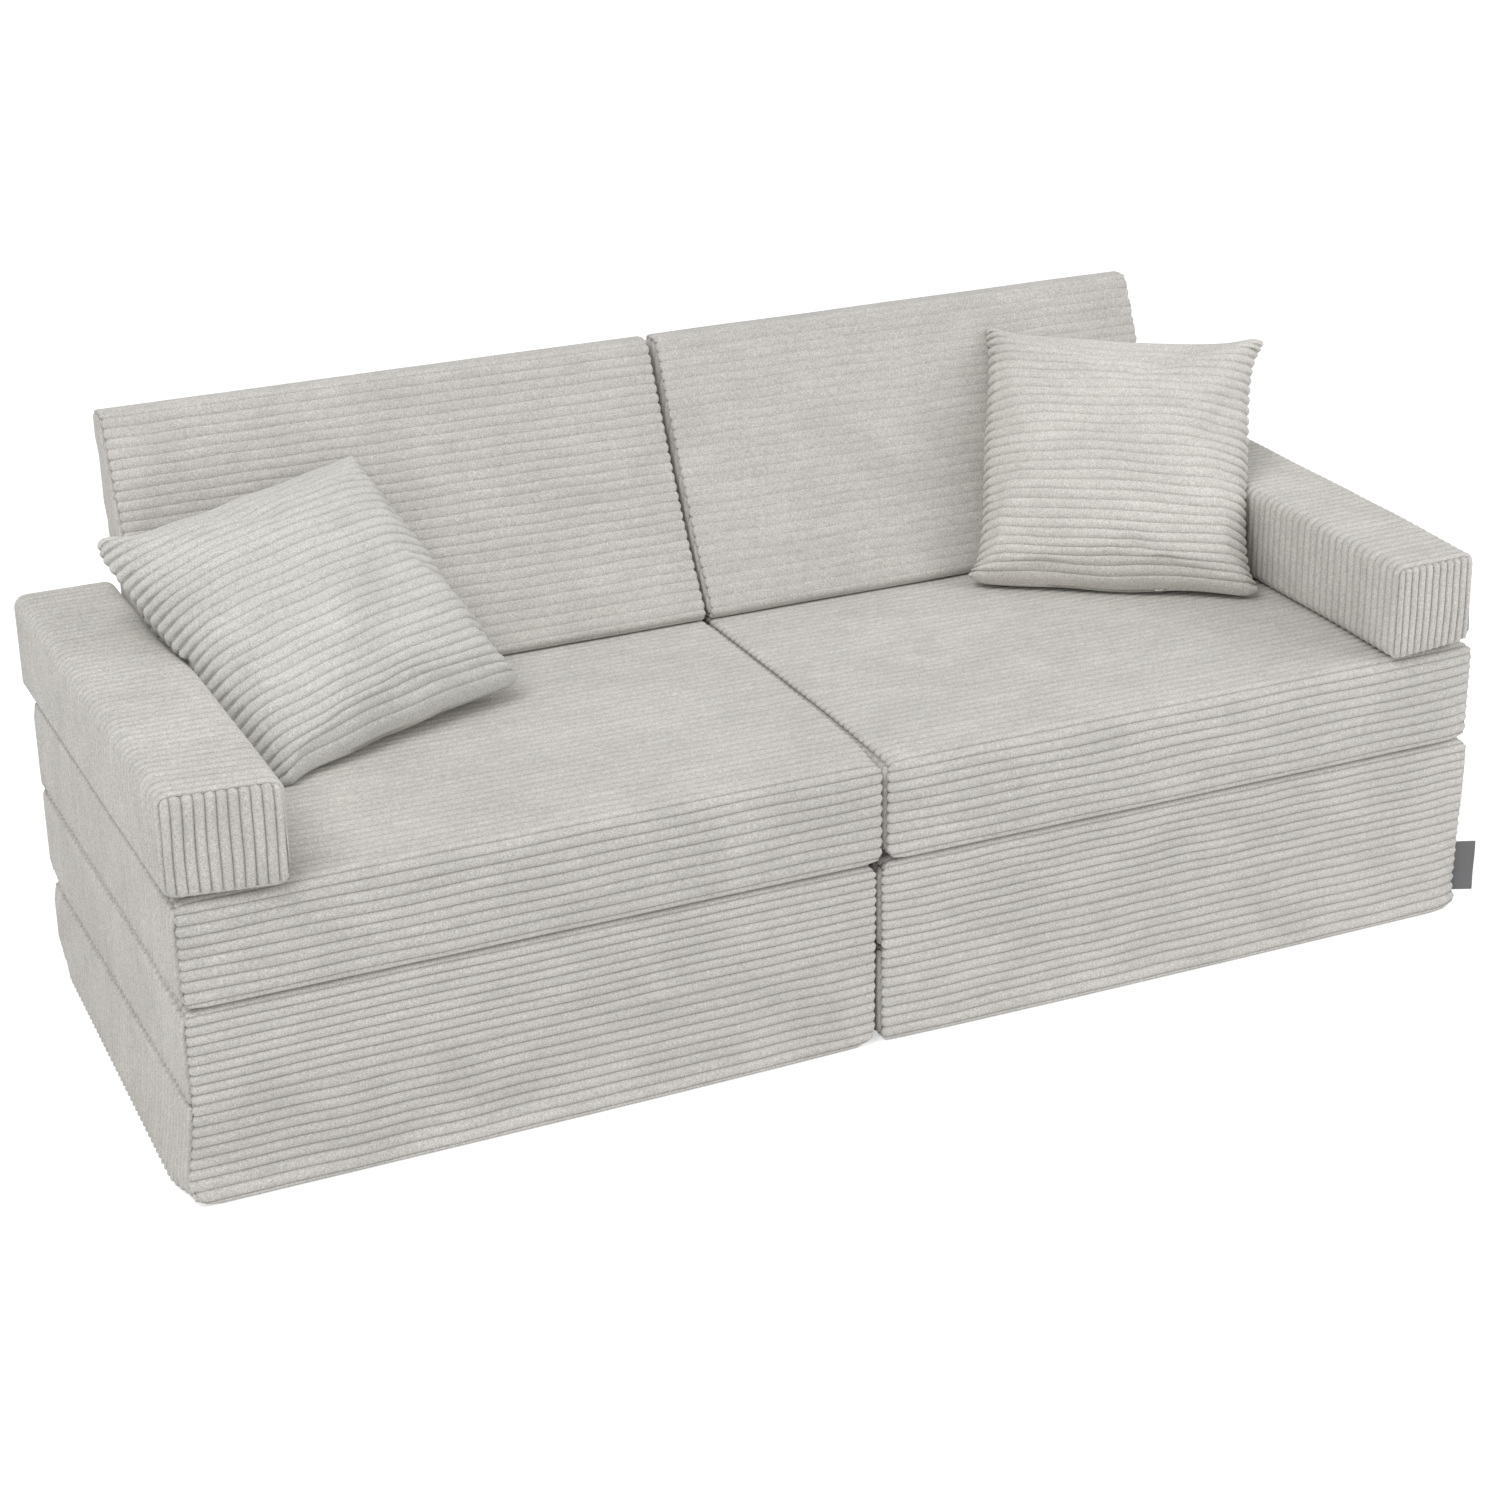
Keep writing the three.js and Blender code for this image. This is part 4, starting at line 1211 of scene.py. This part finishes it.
def pillow_form(u, v, left, right, upward, fullness):
    """The front sheet of a swelled square with ears, at coordinates u, v from -1 to 1.

    left, right and upward say how far its sides are drawn in between the ears, as shares.
    """
    sideways = np.where(u < 0, left, right)
    across = u * (1 - sideways * (1 - np.abs(v) ** fullness) * u ** 2)
    upward = v * (1 - upward * (1 - np.abs(u) ** fullness) * v ** 2)
    half = PILLOW_THICKNESS / 2 * np.maximum((1 - u ** 2) * (1 - v ** 2), 0) ** PILLOW_SWELL_POWER
    return np.stack([PILLOW_SIDE / 2 * across, -half, PILLOW_SIDE / 2 * upward], axis=-1)


def pillow_place(side):
    """The turn and shift that put a pillow, modelled about its middle, where its CAD node is."""
    pose = PILLOW_POSES[side]
    turn = (Matrix.Rotation(math.radians(pose["yaw"]), 3, "Z")
            @ Matrix.Rotation(math.radians(-pose["lean"]), 3, "X")
            @ Matrix.Rotation(math.radians(pose["roll"]), 3, "Y"))
    turn = np.array(turn)
    shares = -np.cos(np.pi * np.arange(PILLOW_CAD_STEPS + 1) / PILLOW_CAD_STEPS)
    u, v = np.meshgrid(shares, shares, indexing="ij")
    front = pillow_form(u, v, CAD_DRAWN_IN, CAD_DRAWN_IN, CAD_DRAWN_IN, CAD_FULLNESS)
    both = np.concatenate([front.reshape(-1, 3), (front * (1, -1, 1)).reshape(-1, 3)])
    return turn, node_box(side, "pillow_cover")[0] - (both @ turn.T).min(axis=0)


def sewn_cells(front, back):
    """A mesh of two grids of points that share their rims, and the vertex numbers of both grids."""
    rows, columns = front.shape[:2]
    numbers = np.arange(rows * columns).reshape(rows, columns)
    inner = np.zeros((rows, columns), dtype=bool)
    inner[1:-1, 1:-1] = True
    behind = numbers.copy()
    behind[inner] = rows * columns + np.arange(inner.sum())
    points = np.concatenate([front.reshape(-1, 3), back[inner]])

    def faces(n):
        return np.stack([n[:-1, :-1], n[1:, :-1], n[1:, 1:], n[:-1, 1:]], axis=-1).reshape(-1, 4)
    mesh = bpy.data.meshes.new("pillow_cells")
    both = np.concatenate([faces(numbers), faces(behind)[:, ::-1]])
    mesh.from_pydata(points.tolist(), [], both.tolist())
    return linked("pillow_cells", mesh), points, numbers, behind


def blown_up(front, back):
    """Lets Blender's cloth settle the sewn sheets under pressure, each point within a short way."""
    made, start, numbers, behind = sewn_cells(front, back)
    cloth = made.modifiers.new("cloth", "CLOTH")
    settings = cloth.settings
    settings.quality = PILLOW_QUALITY
    settings.use_pressure = True
    settings.uniform_pressure_force = PILLOW_PRESSURE
    settings.effector_weights.gravity = 0
    cloth.collision_settings.use_collision = False
    for number in range(1, PILLOW_FRAMES + 1):
        bpy.context.scene.frame_set(number)
    shown = made.evaluated_get(bpy.context.evaluated_depsgraph_get())
    points = np.zeros(start.size)
    shown.data.vertices.foreach_get("co", points)
    bpy.data.objects.remove(made)
    bpy.context.scene.frame_set(1)
    moved = points.reshape(-1, 3) - start
    length = np.linalg.norm(moved, axis=1, keepdims=True)
    moved *= np.minimum(1, PILLOW_MOVE_LIMIT / np.maximum(length, NEAR))
    return (start + moved)[numbers], (start + moved)[behind]


def cubic_weights(shares, count):
    """Weights for values between those of an evenly spaced row, at shares from 0 to 1 along it."""
    weights = np.zeros((len(shares), count))
    place = np.clip(np.asarray(shares), 0, 1) * (count - 1)
    first = np.minimum(place.astype(int), count - 2)
    t = place - first
    basis = (
        -0.5 * t + t ** 2 - 0.5 * t ** 3,
        1 - 2.5 * t ** 2 + 1.5 * t ** 3,
        0.5 * t + 2 * t ** 2 - 1.5 * t ** 3,
        -0.5 * t ** 2 + 0.5 * t ** 3,
    )
    for offset, weight in zip((-1, 0, 1, 2), basis):
        index = np.clip(first + offset, 0, count - 1)
        np.add.at(weights, (np.arange(len(shares)), index), weight)
    return weights


def pillow_sheets(side):
    """The front and rear sheet of a pillow as coarse grids of points, settled by simulation."""
    shares = np.linspace(-1, 1, PILLOW_CELLS + 1)
    u, v = np.meshgrid(shares, shares, indexing="ij")
    front = pillow_form(u, v, fullness=PILLOW_FULLNESS, **PILLOW_DRAWN_IN[side])
    front[..., (0, 2)] *= PILLOW_CLOTH_SHARE
    for ear_side, ear_level, sideways, upward in EAR_MOVES[side]:
        near = ((1 + ear_side * u) * (1 + ear_level * v) / 4) ** 2
        front[..., 0] += sideways * near
        front[..., 2] += upward * near
    front += PILLOW_UNEVENNESS * waves(front, seed_of(side, "pillow"))
    back = front * (1, -1, 1)
    back[0], back[-1], back[:, 0], back[:, -1] = front[0], front[-1], front[:, 0], front[:, -1]
    return blown_up(front, back)


def drawn_in_ears(u, v):
    """How far a sheet's points are drawn in at its corners, so that the ears are round."""
    near_u, near_v = (np.maximum(1 - (1 - np.abs(k)) / EAR_ROUND_SHARE, 0) for k in (u, v))
    sideways = np.sign(u) * near_u * (1 - np.sqrt(1 - near_v ** 2 / 2))
    upward = np.sign(v) * near_v * (1 - np.sqrt(1 - near_u ** 2 / 2))
    return np.stack([sideways, upward], axis=-1) * EAR_ROUND_SHARE * PILLOW_SIDE / 2


def pillow(side):
    """A square pillow with ears, its ribs level, settled by simulation and put where its CAD node is."""
    rows, ribs, heights = rib_places((0, PILLOW_SIDE))
    rims = (1 - np.cos(np.linspace(0, math.pi / 2, ARC_STEPS + 1))) * RIB_PITCH
    between = even_places((rims[-1], PILLOW_SIDE - rims[-1]), PILLOW_STEP)[1:-1]
    columns = np.concatenate([rims, between, (PILLOW_SIDE - rims)[::-1]])
    across, upward = (cubic_weights(k / PILLOW_SIDE, PILLOW_CELLS + 1) for k in (columns, rows))
    u = (2 * columns / PILLOW_SIDE - 1)[:, None]
    v = (2 * rows / PILLOW_SIDE - 1)[None, :]
    rim = RIM_HALF * np.sqrt(1 - np.maximum(np.abs(u), np.abs(v)) ** RIM_FLATNESS)
    from_side = np.minimum(columns, PILLOW_SIDE - columns)[:, None]
    scallop = -heights[None, :] * SCALLOP * np.clip(1 - from_side / SCALLOP_REACH, 0, 1)
    inside = np.minimum(rim / RIM_HALF, 1)
    deeper = 1 + HEM_RIB_DEEPER * eased(1 - from_side / HEM_RIB_REACH)
    sunk = (heights[None, :] * RIB_DEPTH * inside * deeper)[..., None]
    turn, shift = pillow_place(side)
    shift = shift - (0, 0, PILLOW_DROP[side])
    build = Build()
    for way, sheet in zip((-1, 1), pillow_sheets(side)):
        fine = np.einsum("ai,bj,ijk->abk", across, upward, sheet)
        fine[..., 0] -= np.sign(u) * scallop
        fine[..., (0, 2)] -= drawn_in_ears(u, v)
        fine[..., 1] += rim * way
        normals = grid_normals(fine, closed=False)
        if np.sum(normals[..., 1]) * way < 0:
            normals = -normals
        fine = fine + normals * sunk
        placed = rested(side, fine @ turn.T + shift)
        build.grid(placed, columns / RIB_PITCH, ribs, flip=way == 1, ribs_first=False)
    hem = fine[:, 0]
    made = build.object(f"{side}_pillow_cushion", PILLOW_LIT_CLOTHS[side])
    weld(made)

    def place(points):
        local = np.stack([np.interp(points[:, 0], hem[:, 0], hem[:, k]) for k in range(3)], axis=-1)
        local[:, 1] = points[:, 1]
        local[:, 2] -= points[:, 2] - PILLOW_ZIP_SUNK
        return local @ turn.T + shift
    fastener(side, "pillow", "pillow", zip_parts(PILLOW_ZIP, pull_tab=False), place)
    carried(made, side, "pillow", "pillow_cover", "pillow_fill")


def rested(side, points):
    """Flattens a pillow where it rests on its seat and against its backrest and armrest."""
    low, high = node_box(side, "back_cover")
    slope = (high[1] - BACK_TOP_DEPTH - low[1]) / (high[2] - low[2])
    length = math.hypot(1, slope)
    moved = points.copy()
    behind = (moved[..., 1] - low[1] - slope * (moved[..., 2] - low[2])) / length + REST_CLEARANCE
    push = np.maximum(behind, 0)
    moved[..., 1] -= push / length
    moved[..., 2] += push * slope / length
    floor = node_box(side, "seat_cover")[1][2] + REST_CLEARANCE
    moved[..., 2] = np.maximum(moved[..., 2], floor)
    arm_low, arm_high = node_box(side, "arm_cover")
    inner = arm_high[0] if side == "left" else arm_low[0]
    face = abs(inner) - arm_lean(side, moved[..., 1]) - REST_CLEARANCE
    beside = moved[..., 2] < arm_high[2]
    outward = moved[..., 0] * OUTWARD[side]
    moved[..., 0] = np.where(beside, np.minimum(outward, face), outward) * OUTWARD[side]
    return moved


def weld(piece):
    bm = bmesh.new()
    bm.from_mesh(piece.data)
    bmesh.ops.remove_doubles(bm, verts=bm.verts, dist=CLOSE)
    bm.to_mesh(piece.data)
    bm.free()


# Label

# Where the ribbon leaves its seam and where it ends, as seen from above, and how far its lower and
# its upper edge lie below its CAD node's
LABEL_START = (0.7034, -0.2745)
LABEL_TIP = (0.7274, -0.2845)
LABEL_BELOW = 0.0105
LABEL_UNDER = 0.0045
LABEL_THICKNESS = 0.0004
LABEL_LEAF_GAP = 0.0005
LABEL_ROWS = 16
LABEL_BEND_STEPS = 9
LABEL_WAVE = 0.0006
LABEL_WAVE_TURN = 150


def label():
    """A bare woven ribbon, folded once and caught in the front corner seam."""
    low, high = (np.array(corner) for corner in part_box("label"))
    start, tip = np.array(LABEL_START), np.array(LABEL_TIP)
    reach = np.linalg.norm(tip - start)
    onward = (tip - start) / reach
    sideways = np.array([-onward[1], onward[0]])
    radius = LABEL_LEAF_GAP / 2 + LABEL_THICKNESS / 2
    turn = reach - radius - LABEL_THICKNESS / 2
    leaf = np.linspace(0, turn, LABEL_BEND_STEPS)
    bend = np.linspace(-math.pi / 2, math.pi / 2, LABEL_BEND_STEPS)[1:-1]
    path = np.concatenate([
        np.stack([leaf, np.full(LABEL_BEND_STEPS, -radius)], axis=1),
        np.stack([turn + radius * np.cos(bend), radius * np.sin(bend)], axis=1),
        np.stack([leaf[::-1], np.full(LABEL_BEND_STEPS, radius)], axis=1),
    ])
    step = np.gradient(path, axis=0)
    step /= np.linalg.norm(step, axis=1, keepdims=True)
    out = np.stack([step[:, 1], -step[:, 0]], axis=1) * LABEL_THICKNESS / 2
    sides = np.concatenate([path + out, (path - out)[::-1]])
    rings = []
    for z in np.linspace(low[2] - LABEL_BELOW, high[2] - LABEL_UNDER, LABEL_ROWS):
        sway = LABEL_WAVE * math.sin((z - low[2]) * LABEL_WAVE_TURN) * sides[:, 0] / turn
        flat = start + sides[:, :1] * onward + (sides[:, 1:] + sway[:, None]) * sideways
        rings.append(np.column_stack([flat, np.full(len(sides), z)]))
    parts = Sweeps()
    parts.tube(rings, 0)
    made = parts.object("label_ribbon", lambda points: points, (RIBBON,))
    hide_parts("label")
    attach(made, "right_base")


for each_side in SIDES:
    for slab_name in SLAB_FOLDS:
        slab(each_side, slab_name)
    backrest(each_side)
    armrest(each_side)
    pillow(each_side)
label()


# Stage

FLOOR_SIZE = 40
FLOOR_LEVEL = -0.0005
FLOOR_COLOUR = (0.9, 0.9, 0.9, 1)
FLOOR_GLOW = 0.52
WORLD_LIGHT = 0.55

# Lamps: place, target, size in metres and power in watts
LAMPS = {
    "key": ((-2.1, -1.55, 3.85), (0, 0, 0.3), 2.6, 80),
    "fill": ((2.3, -1.8, 1.6), (0.5, 0, 0.3), 2.0, 23),
}


def seen(tree):
    """1 where a surface is looked at, straight or through a shine or glass, else 0."""
    rays = node(tree, "ShaderNodeLightPath").outputs
    shine = maths(tree, "MAXIMUM", rays["Is Glossy Ray"], rays["Is Transmission Ray"])
    return maths(tree, "MAXIMUM", rays["Is Camera Ray"], shine)


def stage():
    """A pale floor that keeps the shadow and glows only where it is looked at."""
    bpy.ops.mesh.primitive_plane_add(size=FLOOR_SIZE, location=(0, 0, FLOOR_LEVEL))
    floor = bpy.context.object
    floor.name = "floor"
    material = bpy.data.materials.new("floor")
    material.use_nodes = True
    tree = material.node_tree
    shader = tree.nodes["Principled BSDF"]
    fill(shader, {"Base Color": FLOOR_COLOUR, "Roughness": 1.0, "Specular IOR Level": 0.0})
    floor.data.materials.append(material)
    strength = maths(tree, "MULTIPLY", seen(tree), FLOOR_GLOW)
    glow = node(tree, "ShaderNodeEmission", {"Strength": strength})
    both = node(tree, "ShaderNodeAddShader", {0: shader.outputs[0], 1: glow.outputs[0]})
    fill(tree.nodes["Material Output"], {"Surface": both.outputs[0]})


def world():
    """Even light from all round, and a white background where it is looked at."""
    made = bpy.data.worlds.new("studio")
    bpy.context.scene.world = made
    made.use_nodes = True
    tree = made.node_tree
    more = maths(tree, "MULTIPLY", seen(tree), 1 - WORLD_LIGHT)
    strength = maths(tree, "ADD", more, WORLD_LIGHT)
    fill(tree.nodes["Background"], {"Color": (1, 1, 1, 1), "Strength": strength})


def lamp(name, place, target, size, power):
    data = bpy.data.lights.new(name, "AREA")
    data.shape = "DISK"
    data.size = size
    data.energy = power
    made = linked(name, data)
    made.location = place
    direction = Vector(target) - Vector(place)
    made.rotation_euler = direction.to_track_quat("-Z", "Y").to_euler()


def camera():
    """The camera as solved on the photograph."""
    data = bpy.data.cameras.new("camera")
    data.sensor_width = SENSOR_WIDTH
    data.lens = SENSOR_WIDTH * FOCAL_SHARE
    level = Vector((math.cos(CAMERA_YAW), -math.sin(CAMERA_YAW), 0))
    ahead = Vector((math.sin(CAMERA_YAW), math.cos(CAMERA_YAW), 0))
    forward = ahead * math.cos(CAMERA_PITCH) + Vector((0, 0, math.sin(CAMERA_PITCH)))
    right = level * math.cos(CAMERA_ROLL) + level.cross(forward) * math.sin(CAMERA_ROLL)
    turn = Matrix((right, right.cross(forward), -forward)).transposed()
    made = linked("camera", data)
    made.matrix_world = Matrix.Translation(CAMERA_PLACE) @ turn.to_4x4()
    bpy.context.scene.camera = made


stage()
world()
for lamp_name, lamp_values in LAMPS.items():
    lamp(lamp_name, *lamp_values)
camera()

bpy.context.scene.view_settings.view_transform = "Standard"
